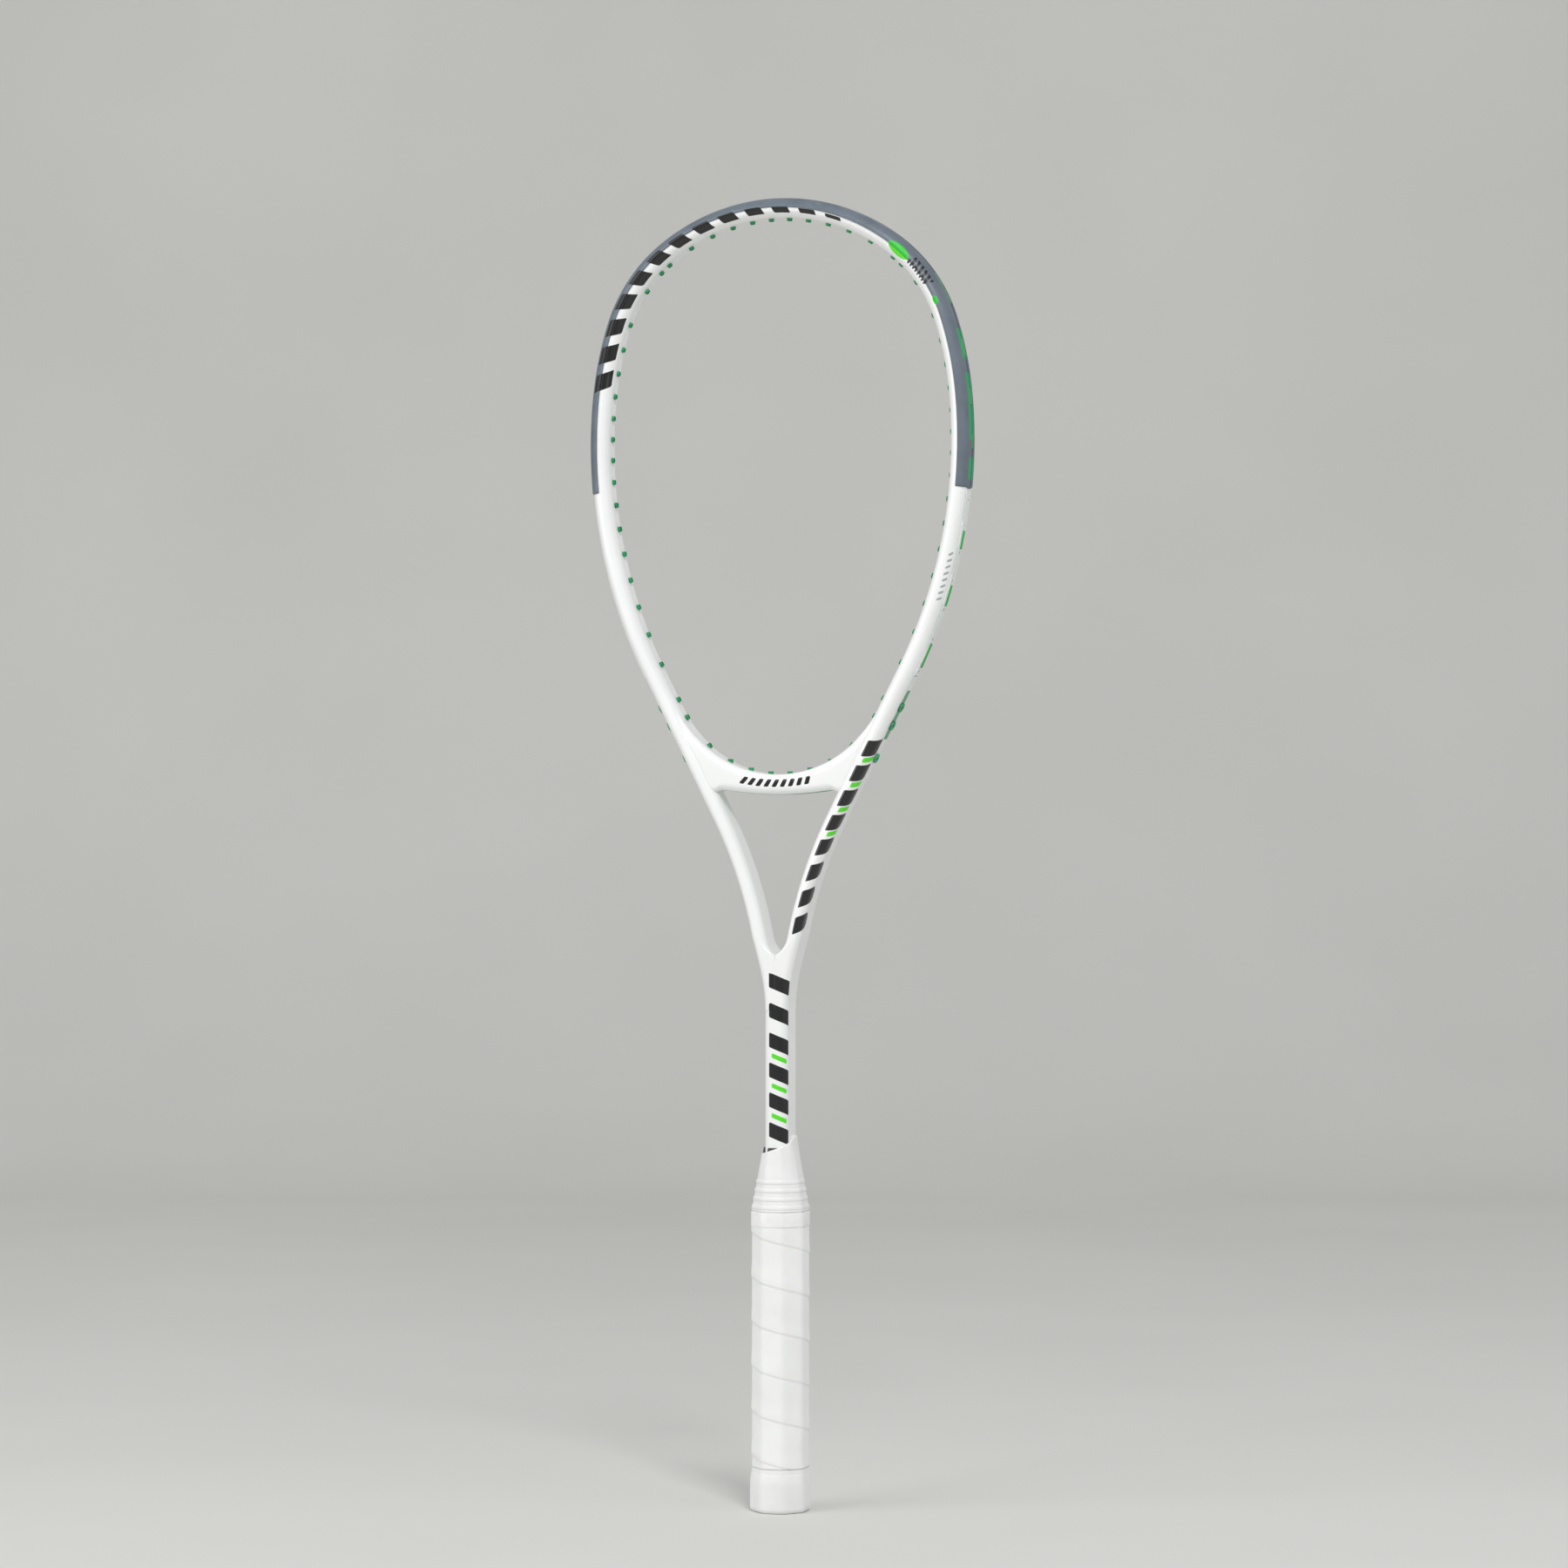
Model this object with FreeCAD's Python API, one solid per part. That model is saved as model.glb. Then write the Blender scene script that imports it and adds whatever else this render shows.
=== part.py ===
import FreeCAD
import Part
import math
import os

# Squash racket, standing upright on its butt cap, unstrung.
# Millimetres. Origin at the middle of the butt cap's bottom. +Z runs up the
# handle to the top of the head, X is the width of the head, Y its thickness,
# and the front face looks towards -Y. The string plane is Y = 0.

V = FreeCAD.Vector
WIDTH_AXIS = V(1, 0, 0)
DEPTH_AXIS = V(0, 1, 0)
UP_AXIS = V(0, 0, 1)
ORIGIN = V(0, 0, 0)

# ---------------------------------------------------------------- driving sizes

overall_length = 686.0          # longest racket that the rules allow
bumper_thickness = 0.9
bumper_lip_end = 1.8            # how near the bumper's lips come to the tube's middle
beam_half_width = 5.0           # of the head tube, in the string plane
beam_half_depth = 9.5           # of the head tube, across the string plane
beam_corner = 4.4
beam_wall = 1.4
beam_void_corner = 2.6

# The head and arms follow one chain of tangent arcs from the top of the head
# to the shaft: (radius, turn in degrees). The arms lean in by arm_lean.
head_arcs = [(102.5, 37.0), (79.5, 35.0), (180.0, 13.0)]
shoulder_radius = 262.0
arm_lean = 27.3
arm_straight = 86.0
neck_radius = 229.0

bumper_end_height = 533.0
yoke_top = 300.0
yoke_bottom = 262.0
throat_apex = 291.0
arm_end_half_width = 4.6
arm_end_half_depth = 10.5
arm_taper_delay = 73.0          # length of the arm that keeps the head's section
yoke_levels = [(291.0, 10.7), (281.0, 8.2), (272.0, 6.8)]    # (height, half width)
notch_half_width = 1.2          # of the throat's rounded lower end

shaft_half_width = 6.2
shaft_half_depth = 10.5
shaft_corner = 4.6
shaft_wrap_wall = 0.9
leg_wall = 1.2
leg_void_corner = 1.2
fit_gap = 0.05

bridge_top = 384.8              # lowest point of the head opening
bridge_bottom = 374.3           # highest point of the throat opening, at its middle
throat_arc_radius = 178.0
bridge_wall = 1.6
bridge_corner = 4.2
web_half_depth = 9.1            # the webs stand a little below the faces of the arms
web_feather = 11.0              # the webs' thin ends stop this far from the tangent point
web_end_rise = 4.6              # height of the webs' lower ends over the throat opening's top

grip_half_width = 14.25
grip_half_depth = 15.0
grip_front_flat = 5.5
grip_side_flat = 6.5
grip_thickness = 1.9
grip_bottom = 23.0
grip_top = 157.0
cone_top = 198.0
butt_half_width = 15.2
butt_half_depth = 15.9
butt_height = 22.7
butt_foot_inset = 1.6
butt_corner = 5.0
cap_floor = 3.0
plug_disc_radius = 8.8
plug_disc_height = 0.8
plug_stem_radius = 6.9
staple_crown = 8.0
staple_leg = 5.0
staple_wire = 0.5
staple_height = 12.0
staple_sunk = 0.5               # the crown lies this far under the cap's surface
pallet_corner = 2.0
grip_corner = 3.0
collar_margin = 1.0             # the collar's wall where it ends on the shaft
collar_front_flat = 2.6
collar_side_flat = 6.4
collar_ribs = 4
rib_pitch = 4.4
rib_width = 2.2
rib_height = 0.35
tape_width = 7.6
tape_thickness = 0.25

groove_half_depth = 3.6         # the string groove round the outside of the head
groove_depth = 1.2
hole_radius = 1.6
barrel_radius = 1.45
barrel_bore = 0.95
barrel_tip = 1.3                # how far a grommet stands inside the head
strip_proud = 0.15              # how far a grommet strip stands out of its groove
channel_half_depth = 1.3        # of the string channel in the bumper
pad_half_depth = 0.9
pad_height = 0.55
far = 30.0                      # past the racket on every side of a section
cross_middle_height = 562.0
cross_pitch = 11.0
cross_growth = 0.28
main_pitch = 10.4
main_growth = 0.25
mains_per_side = 7
closest_holes = 6.0             # strings that land nearer than this share a hole


# ---------------------------------------------------------------- outlines

def rounded_wire(corners, radius):
    """Closed wire in the XY plane through the corners, each rounded by a tangent arc."""
    points = [V(x, y, 0) for x, y in corners]
    arcs = []
    for index, corner in enumerate(points):
        to_before = (points[index - 1] - corner).normalize()
        to_after = (points[(index + 1) % len(points)] - corner).normalize()
        half_angle = to_before.getAngle(to_after) / 2
        inward = (to_before + to_after).normalize()
        reach = radius / math.tan(half_angle)
        middle = corner + inward * (radius / math.sin(half_angle) - radius)
        arcs.append((corner + to_before * reach, middle, corner + to_after * reach))
    edges = []
    for index, (start, middle, end) in enumerate(arcs):
        leaving = arcs[index - 1][2]
        if leaving.distanceToPoint(start) > 1e-4:
            edges.append(Part.LineSegment(leaving, start).toShape())
        edges.append(Part.Arc(start, middle, end).toShape())
    return Part.Wire(edges)


def rectangle_wire(low_x, high_x, half_y, radius):
    """Rounded rectangle in the XY plane, from low_x to high_x."""
    corners = [(low_x, -half_y), (high_x, -half_y), (high_x, half_y), (low_x, half_y)]
    return rounded_wire(corners, radius)


def octagon_wire(half_x, half_y, front_flat, side_flat, radius):
    """Octagon of the handle: flats front and back, flats at the sides, bevels between."""
    corners = [
        (-front_flat, -half_y), (front_flat, -half_y),
        (half_x, -side_flat), (half_x, side_flat),
        (front_flat, half_y), (-front_flat, half_y),
        (-half_x, side_flat), (-half_x, -side_flat),
    ]
    return rounded_wire(corners, radius)


def plain_rectangle(low_x, high_x, half_y):
    """Sharp-cornered rectangular face in the XY plane."""
    return Part.makePlane(high_x - low_x, 2 * half_y, V(low_x, -half_y, 0), UP_AXIS)


def placed(shape, placement):
    """Copy of the shape moved to the placement."""
    moved = shape.copy()
    moved.Placement = placement
    return moved


def lifted(wire, height):
    """Copy of a flat wire at the given height."""
    return placed(wire, FreeCAD.Placement(V(0, 0, height), FreeCAD.Rotation()))


def mirrored(shape):
    """The same shape on the other side of the racket."""
    return shape.mirror(ORIGIN, WIDTH_AXIS)


def with_mirror(shape):
    """The shape and its mirror image, joined where they touch."""
    return shape.fuse(mirrored(shape)).removeSplitter()


# ---------------------------------------------------------------- centre line

class Stretch:
    """A straight or round stretch of the centre line, in the string plane.

    The heading is the angle below +X. A positive radius turns inwards, a
    negative one turns outwards, and None is straight.
    """

    def __init__(self, start, heading, length, radius):
        """A stretch that starts at a point, with a heading in radians."""
        self.start = start
        self.heading = heading
        self.length = length
        self.radius = radius

    def outward(self, distance):
        """Direction out of the head at a distance along the stretch."""
        angle = self.heading_at(distance)
        return V(math.sin(angle), 0, math.cos(angle))

    def along(self, distance):
        """Direction of the line at a distance along the stretch."""
        angle = self.heading_at(distance)
        return V(math.cos(angle), 0, -math.sin(angle))

    def heading_at(self, distance):
        """Heading at a distance along the stretch."""
        if self.radius is None:
            return self.heading
        return self.heading + distance / self.radius

    def centre(self):
        """Centre of a round stretch."""
        return self.start - self.outward(0) * self.radius

    def point(self, distance):
        """Point at a distance along the stretch."""
        if self.radius is None:
            return self.start + self.along(0) * distance
        return self.centre() + self.outward(distance) * self.radius

    def placement(self, distance):
        """Section frame: local X outwards, local Y across the string plane."""
        turn = FreeCAD.Rotation(self.outward(distance), DEPTH_AXIS, self.along(distance) * -1)
        return FreeCAD.Placement(self.point(distance), turn)

    def sweep(self, face, start, end):
        """Solid that the section face sweeps between two distances."""
        section = placed(face, self.placement(start))
        if self.radius is None:
            return section.extrude(self.along(0) * (end - start))
        degrees = math.degrees((end - start) / self.radius)
        return section.revolve(self.centre(), DEPTH_AXIS, degrees)


class CentreLine:
    """The right half of the frame's centre line, from the top of the head down."""

    def __init__(self, top_height):
        """A line with no stretches yet, level at its top."""
        self.stretches = []
        self.point_now = V(0, 0, top_height)
        self.heading_now = 0.0

    def add(self, length, radius=None):
        """Go on by a length, straight or with a radius."""
        stretch = Stretch(self.point_now, self.heading_now, length, radius)
        self.stretches.append(stretch)
        self.point_now = stretch.point(length)
        self.heading_now = stretch.heading_at(length)

    def add_turn(self, radius, degrees):
        """Go on round an arc by an angle."""
        self.add(abs(radius) * math.radians(degrees), radius)

    def length(self):
        """Length of the whole line."""
        return sum(stretch.length for stretch in self.stretches)

    def locate(self, station):
        """The stretch that holds a station, and the distance along it."""
        left = station
        for stretch in self.stretches:
            if left <= stretch.length:
                return stretch, left
            left -= stretch.length
        return self.stretches[-1], self.stretches[-1].length

    def placement(self, station):
        """Section frame at a station, the length from the top."""
        stretch, distance = self.locate(station)
        return stretch.placement(distance)

    def point(self, station):
        """Point at a station."""
        stretch, distance = self.locate(station)
        return stretch.point(distance)

    def sweep(self, section, start, end):
        """Solid that a section of one or more faces sweeps between two stations."""
        pieces = []
        begun = 0.0
        for stretch in self.stretches:
            low = max(start - begun, 0.0)
            high = min(end - begun, stretch.length)
            if high - low > 1e-6:
                pieces += [stretch.sweep(face, low, high) for face in section.Faces]
            begun += stretch.length
        solid = pieces[0]
        for piece in pieces[1:]:
            solid = solid.fuse(piece)
        return solid.removeSplitter()

    def find(self, measure, low, high):
        """Station between low and high where the measure of the point is zero."""
        low_sign = measure(self.point(low)) > 0
        for _ in range(50):
            middle = (low + high) / 2
            if (measure(self.point(middle)) > 0) == low_sign:
                low = middle
            else:
                high = middle
        return (low + high) / 2


line = CentreLine(overall_length - bumper_thickness - beam_half_width)
for arc_radius, arc_turn in head_arcs:
    line.add_turn(arc_radius, arc_turn)
turned = sum(arc_turn for _, arc_turn in head_arcs)
widest_station = line.length() + shoulder_radius * math.radians(90 - turned)
line.add_turn(shoulder_radius, 90 + arm_lean - turned)
shoulder_station = line.length()
taper_station = shoulder_station + arm_taper_delay
line.add(arm_straight)
line.add_turn(-neck_radius, arm_lean)
neck_station = line.length()

bumper_station = line.find(lambda p: p.z - bumper_end_height, 0, shoulder_station)
yoke_station = line.find(lambda p: p.z - yoke_top, shoulder_station, neck_station)
lean = math.radians(arm_lean)


# ---------------------------------------------------------------- string holes

def cross_heights():
    """Heights of the cross strings, spaced wider towards the ends of the head."""
    below = [cross_middle_height - cross_pitch * k - cross_growth * k * k for k in range(11)]
    above = [cross_middle_height + cross_pitch * k + cross_growth * k * k for k in range(1, 8)]
    return sorted(below + above, reverse=True)


def main_offsets():
    """Distances of the main strings from the middle, spaced wider outwards."""
    steps = [k + 0.5 for k in range(mains_per_side)]
    return [main_pitch * step + main_growth * step * step for step in steps]


def hoop_stations():
    """Stations of the holes in the right half of the head tube."""
    stations = []
    for offset in main_offsets():
        stations.append(line.find(lambda p: p.x - offset, 0, widest_station))
        if offset > line.point(shoulder_station).x:
            stations.append(line.find(lambda p: p.x - offset, widest_station, shoulder_station))
    for height in cross_heights():
        if height > line.point(shoulder_station).z + barrel_radius:
            stations.append(line.find(lambda p: p.z - height, 0, shoulder_station))
    kept = []
    for station in sorted(stations):
        if kept and station - kept[-1] < closest_holes:
            continue
        if abs(station - bumper_station) < 2 * barrel_radius:
            continue
        if shoulder_station - station > 2 * barrel_radius:
            kept.append(station)
    return kept


def hole_across(placement, radius, inner, outer):
    """Round bar along a section's outward direction, from inner to outer."""
    return placed(Part.makeCylinder(radius, outer - inner, V(inner, 0, 0), WIDTH_AXIS), placement)


stations = hoop_stations()

# The arc at the bottom of the head opening leaves both arms along their inner
# edges. Its radius follows from its lowest point and the lean of the arms.
arm_start = line.point(shoulder_station)
inner_edge_x = arm_start.x - beam_half_width / math.cos(lean)
opening_radius = inner_edge_x * math.cos(lean) + (bridge_top - arm_start.z) * math.sin(lean)
opening_radius /= 1 - math.sin(lean)
opening_centre = V(0, 0, bridge_top + opening_radius)
throat_centre = V(0, 0, bridge_bottom + throat_arc_radius)
tangent_height = opening_centre.z - opening_radius * math.sin(lean)
arm_outward = V(math.cos(lean), 0, -math.sin(lean))
arm_along = V(-math.sin(lean), 0, -math.cos(lean))


def arm_line_x(height):
    """Where the straight part of the arm's centre line is at a height."""
    return arm_start.x - (arm_start.z - height) * math.tan(lean)


def opening_height(offset):
    """Height of the bridge's upper face at a distance from the middle."""
    return opening_centre.z - math.sqrt(opening_radius ** 2 - offset ** 2)


def shoulder_bars(radius, inner_gap, outer):
    """Bars through the shoulder, square to the arm, where three strings pass."""
    bars = []
    lowest_cross = cross_heights()[-1]
    starts = [V(arm_line_x(lowest_cross) - beam_half_width / math.cos(lean), 0, lowest_cross)]
    starts += [V(x, 0, opening_height(x)) for x in main_offsets()[3:5]]
    for start in starts:
        reach = (arm_line_x(start.z) - start.x) * math.cos(lean)
        base = start - arm_outward * inner_gap
        bars.append(Part.makeCylinder(radius, reach + inner_gap + outer, base, arm_outward))
    return bars


def bridge_bars(radius, above, below):
    """Upright bars through the bridge where the middle strings pass."""
    bars = []
    for offset in main_offsets()[:3]:
        for x in (-offset, offset):
            low = throat_centre.z - math.sqrt(throat_arc_radius ** 2 - x * x) - below
            high = opening_height(x) + above
            bars.append(Part.makeCylinder(radius, high - low, V(x, 0, low), UP_AXIS))
    return bars


# ---------------------------------------------------------------- frame tubes

def head_hoop():
    """Carbon tube round the head: hollow, grooved outside, drilled for the strings."""
    outer = Part.Face(rectangle_wire(-beam_half_width, beam_half_width, beam_half_depth, beam_corner))
    void_outer = beam_half_width - groove_depth - beam_wall
    void_inner = -beam_half_width + beam_wall
    void = Part.Face(rectangle_wire(void_inner, void_outer, beam_half_depth - beam_wall, beam_void_corner))
    groove = plain_rectangle(beam_half_width - groove_depth, beam_half_width + 1, groove_half_depth)
    section = outer.cut([void, groove])
    half = line.sweep(section, 0, shoulder_station)
    drills = [hole_across(line.placement(s), hole_radius, -far, far) for s in stations]
    return with_mirror(half.cut(drills))


def eased(part):
    """Smooth step from 0 to 1."""
    part = min(max(part, 0.0), 1.0)
    return part * part * (3 - 2 * part)


def arm_wire(station, shrink):
    """Section of an arm, which narrows and deepens towards the yoke."""
    share = eased((station - taper_station) / (yoke_station - taper_station))
    half_width = beam_half_width + (arm_end_half_width - beam_half_width) * share - shrink
    half_depth = beam_half_depth + (arm_end_half_depth - beam_half_depth) * share - shrink
    corner = (beam_corner - 0.3 * share) * half_width / (half_width + shrink)
    return placed(rectangle_wire(-half_width, half_width, half_depth, corner), line.placement(station))


def arm_solid(shrink):
    """Right arm: straight past the bridge, then lofted to the level top of the yoke."""
    bend = line.length() - line.stretches[-1].length
    start = Part.Face(arm_wire(shoulder_station, shrink))
    straight = start.extrude(arm_along * arm_taper_delay)
    marks = [taper_station, bend, bend + 22, bend + 44, yoke_station, yoke_station + 8]
    tapered = Part.makeLoft([arm_wire(mark, shrink) for mark in marks], True, False)
    keep = Part.makeBox(200, 2 * far, 200, V(-20, -far, yoke_top))
    return straight.fuse(tapered.common(keep)).removeSplitter()


def both_arm_bars(section):
    """Bars of the given section along the straight part of both arms."""
    bar = line.sweep(section, shoulder_station - 5, taper_station)
    return [bar, mirrored(bar)]


def web_block(inset):
    """Block between the head opening and the throat opening, its ends inside the arms.

    The inset moves the upper and lower faces and the front and back inwards.
    """
    tangent_x = (opening_radius + inset) * math.cos(lean)
    tangent_z = opening_centre.z - (opening_radius + inset) * math.sin(lean)
    side_x = arm_line_x(tangent_z)
    end_x = arm_line_x(bridge_bottom + web_end_rise)
    lower_z = throat_centre.z - math.sqrt((throat_arc_radius - inset) ** 2 - end_x ** 2)
    half_depth = web_half_depth - inset
    right_rim = [(tangent_x, tangent_z), (side_x, tangent_z), (end_x, lower_z)]
    left_rim = [(-x, z) for x, z in reversed(right_rim)]
    rim = [V(x, -half_depth, z) for x, z in right_rim + left_rim]
    top_middle = V(0, -half_depth, bridge_top - inset)
    bottom_middle = V(0, -half_depth, bridge_bottom + inset)
    edges = [
        Part.Arc(rim[5], top_middle, rim[0]).toShape(),
        Part.LineSegment(rim[0], rim[1]).toShape(),
        Part.LineSegment(rim[1], rim[2]).toShape(),
        Part.Arc(rim[2], bottom_middle, rim[3]).toShape(),
        Part.LineSegment(rim[3], rim[4]).toShape(),
        Part.LineSegment(rim[4], rim[5]).toShape(),
    ]
    return Part.Face(Part.Wire(edges)).extrude(DEPTH_AXIS * (2 * half_depth))


def bridge_block():
    """Outside of the bridge and its webs, fitted against the arms."""
    block = web_block(0)
    block = block.makeFillet(bridge_corner, [edge for edge in block.Edges if is_bridge_rim(edge)])
    trim_height = tangent_height - web_feather * math.cos(lean)
    trim = Part.makeBox(200, 2 * far, 60, V(-100, -far, trim_height))
    section = Part.Face(rectangle_wire(-beam_half_width, beam_half_width, beam_half_depth, beam_corner))
    return largest(block.cut([trim] + both_arm_bars(section)))


def bridge_foam():
    """Foam that fills the bridge, a laminate's thickness inside it."""
    reach = beam_half_width + bridge_wall
    return largest(web_block(bridge_wall).cut(both_arm_bars(plain_rectangle(-reach, reach, far))))


def is_bridge_rim(edge):
    """True for the long arcs at the front and back of the bridge's two faces."""
    box = edge.BoundBox
    flat = box.YLength < 1e-6 and abs(abs(box.YMin) - web_half_depth) < 1e-6
    return flat and box.XLength > beam_half_width * 8


def strip_groove():
    """Groove under the bridge that its grommet strip lies in."""
    return under_bridge_band(groove_half_depth, groove_depth, -2.0, main_offsets()[2] + 3.6)


def under_bridge_band(half_depth, top, bottom, half_length):
    """Band that follows the bridge's lower face, from bottom to top of its thickness."""
    outer = Part.makeCylinder(throat_arc_radius - bottom, 2 * half_depth)
    outer = outer.cut(Part.makeCylinder(throat_arc_radius - top, 2 * half_depth))
    turn = FreeCAD.Rotation(WIDTH_AXIS, -90)
    band = placed(outer, FreeCAD.Placement(throat_centre + DEPTH_AXIS * -half_depth, turn))
    window = Part.makeBox(2 * half_length, 2 * far, 60, V(-half_length, -far, bridge_bottom - 20))
    return band.common(window)


def throat_pieces():
    """The right arm, the bridge shell and its foam core, each drilled for its strings."""
    shoulder_drills = shoulder_bars(hole_radius, 3.0, beam_half_width + 3)
    all_drills = bridge_bars(hole_radius, 3.0, 3.0) + shoulder_drills
    all_drills += [mirrored(bar) for bar in shoulder_drills]
    core = largest(bridge_foam().cut(strip_groove_roof()))
    shell = bridge_block().cut([core, strip_groove()]).cut(all_drills)
    arm = arm_solid(0).cut([arm_solid(beam_wall)] + shoulder_drills)
    return arm, shell, largest(core.cut(all_drills))


def strip_groove_roof():
    """Room over the groove under the bridge for the shell's wall."""
    return under_bridge_band(groove_half_depth + bridge_wall, groove_depth + bridge_wall, -2.0, 60)


def largest(shape):
    """The biggest solid of a shape."""
    return max(shape.Solids, key=lambda solid: solid.Volume)


def yoke_wire(height, half_width, half_depth):
    """Level section of the yoke."""
    corner = min(shaft_corner, half_width * 0.74)
    return lifted(rectangle_wire(-half_width, half_width, half_depth, corner), height)


def throat_yoke():
    """Solid block where the two arms run together into the shaft."""
    stretch, distance = line.locate(yoke_station)
    edge_x = line.point(yoke_station).x + arm_end_half_width / math.sin(stretch.heading_at(distance))
    levels = [(yoke_top, edge_x)] + yoke_levels + [(yoke_bottom, shaft_half_width)]
    sections = [yoke_wire(height, half_width, shaft_half_depth) for height, half_width in levels]
    body = Part.makeLoft(sections, True, False)
    notch_half = edge_x - 2 * arm_end_half_width
    notch_low = throat_apex + notch_half_width
    notch_corners = [V(-notch_half, -far, yoke_top), V(-notch_half_width, -far, notch_low),
                     V(notch_half_width, -far, notch_low), V(notch_half, -far, yoke_top)]
    edges = [
        Part.LineSegment(notch_corners[3], notch_corners[0]).toShape(),
        Part.LineSegment(notch_corners[0], notch_corners[1]).toShape(),
        Part.Arc(notch_corners[1], V(0, -far, throat_apex), notch_corners[2]).toShape(),
        Part.LineSegment(notch_corners[2], notch_corners[3]).toShape(),
    ]
    notch = Part.Face(Part.Wire(edges)).extrude(DEPTH_AXIS * 2 * far)
    return body.cut(notch)


# ---------------------------------------------------------------- shaft

def shaft_leg():
    """Right leg of the hairpin tube: a D-shaped carbon tube down to the butt."""
    outside = shaft_half_width - shaft_wrap_wall - fit_gap
    half_depth = shaft_half_depth - shaft_wrap_wall - fit_gap
    height = yoke_bottom - cap_floor - 1.0
    outer = Part.Face(rectangle_wire(-outside, outside, half_depth, shaft_corner - shaft_wrap_wall))
    right_half = outer.common(plain_rectangle(fit_gap, far, far))
    inner = Part.Face(rectangle_wire(leg_wall, outside - leg_wall, half_depth - leg_wall, leg_void_corner))
    tube = right_half.cut(inner).Faces[0].extrude(UP_AXIS * height)
    tube.translate(UP_AXIS * (yoke_bottom - height))
    return tube


def shaft_wrap():
    """Carbon sleeve round the two legs."""
    outer = Part.Face(rectangle_wire(-shaft_half_width, shaft_half_width, shaft_half_depth, shaft_corner))
    hole_x = shaft_half_width - shaft_wrap_wall
    hole_y = shaft_half_depth - shaft_wrap_wall
    inner = Part.Face(rectangle_wire(-hole_x, hole_x, hole_y, shaft_corner - shaft_wrap_wall))
    height = yoke_bottom - cap_floor - 1.0
    tube = outer.cut(inner).Faces[0].extrude(UP_AXIS * height)
    tube.translate(UP_AXIS * (yoke_bottom - height))
    return tube


# ---------------------------------------------------------------- handle

def handle_octagon(inset, height, radius=pallet_corner):
    """Octagon of the handle at a height, moved inwards by inset."""
    wire = octagon_wire(grip_half_width - inset, grip_half_depth - inset,
                        grip_front_flat - 0.4 * inset, grip_side_flat - 0.4 * inset, radius)
    return lifted(wire, height)


def cone_wire(inset, height):
    """Octagon of the collar's outside between the grip and the bare shaft."""
    share = (height - grip_top) / (cone_top - grip_top)
    half_x = grip_half_width + (shaft_half_width + collar_margin - grip_half_width) * share - inset
    half_y = grip_half_depth + (shaft_half_depth + collar_margin - grip_half_depth) * share - inset
    front = grip_front_flat + (collar_front_flat - grip_front_flat) * share - 0.4 * inset
    side = grip_side_flat + (collar_side_flat - grip_side_flat) * share - 0.4 * inset
    return lifted(octagon_wire(half_x, half_y, front, side, pallet_corner), height)


def shaft_room():
    """Room for the wrapped shaft inside the handle."""
    wire = rectangle_wire(-shaft_half_width - fit_gap, shaft_half_width + fit_gap,
                          shaft_half_depth + fit_gap, shaft_corner)
    return Part.Face(wire).extrude(UP_AXIS * yoke_bottom)


def cone_over_pallets(inset):
    """Tapered top of the pallets, from the grip's end to where the foam stops."""
    wires = [handle_octagon(inset, grip_top), cone_wire(inset - 0.9, cone_top - 8)]
    return Part.makeLoft(wires, True, True)


def handle_pallet():
    """Right foam half shell of the handle, with a cone at its top."""
    under_grip = grip_thickness + 0.1
    ends = [handle_octagon(under_grip, cap_floor + 1), handle_octagon(under_grip, grip_top)]
    straight = Part.makeLoft(ends, True, True)
    body = straight.fuse(cone_over_pallets(under_grip)).removeSplitter()
    right = Part.makeBox(far, 2 * far, yoke_bottom, V(fit_gap, -far, 0))
    return body.common(right).cut(shaft_room())


def butt_cap():
    """Moulded cap: a flared skirt over the pallets, with a floor and a round opening."""
    foot_width, foot_depth = butt_half_width - butt_foot_inset, butt_half_depth - butt_foot_inset
    foot = octagon_wire(foot_width, foot_depth, 5.4, 6.2, butt_corner)
    skirt = octagon_wire(butt_half_width, butt_half_depth, 6.0, 6.8, butt_corner)
    rim = octagon_wire(grip_half_width - 0.1, grip_half_depth - 0.1, grip_front_flat, grip_side_flat,
                       butt_corner)
    levels = [foot, lifted(skirt, 2.6), lifted(skirt, butt_height - 6), lifted(rim, butt_height)]
    body = Part.makeLoft(levels, True, True)
    inside = handle_octagon(grip_thickness + fit_gap, cap_floor)
    pocket = Part.Face(inside).extrude(UP_AXIS * butt_height)
    opening = Part.makeCylinder(plug_stem_radius + 0.1, cap_floor + 2, V(0, 0, -1), UP_AXIS)
    recess = Part.makeCylinder(plug_disc_radius + 0.2, 1 + plug_disc_height + fit_gap, V(0, 0, -1), UP_AXIS)
    return body.cut([pocket, opening, recess])


def butt_cap_plug():
    """Blank disc that snaps into the cap's opening, level with its bottom."""
    disc = Part.makeCylinder(plug_disc_radius, plug_disc_height, ORIGIN, UP_AXIS)
    stem = Part.makeCylinder(plug_stem_radius, 2.0, V(0, 0, plug_disc_height), UP_AXIS)
    hollow = Part.makeCylinder(plug_stem_radius - 1.5, 2.0, V(0, 0, plug_disc_height + 0.6), UP_AXIS)
    return disc.fuse(stem).cut(hollow).removeSplitter()


def butt_cap_staples():
    """Two wire staples sunk in the cap's skirt, one through each side into its pallet."""
    thick = 2 * staple_wire
    crown = Part.makeBox(staple_crown, staple_wire, thick, V(-staple_crown / 2, 0, 0))
    corners = (-staple_crown / 2, staple_crown / 2 - staple_wire)
    legs = [Part.makeBox(staple_wire, staple_leg, thick, V(x, 0, 0)) for x in corners]
    staples = []
    for side in (-1, 1):
        staple = crown.fuse(legs).removeSplitter()
        staple.translate(V(0, staple_sunk - butt_half_width, staple_height - staple_wire))
        staple.rotate(ORIGIN, UP_AXIS, 90 * side)
        staples.append(staple)
    return staples


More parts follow.
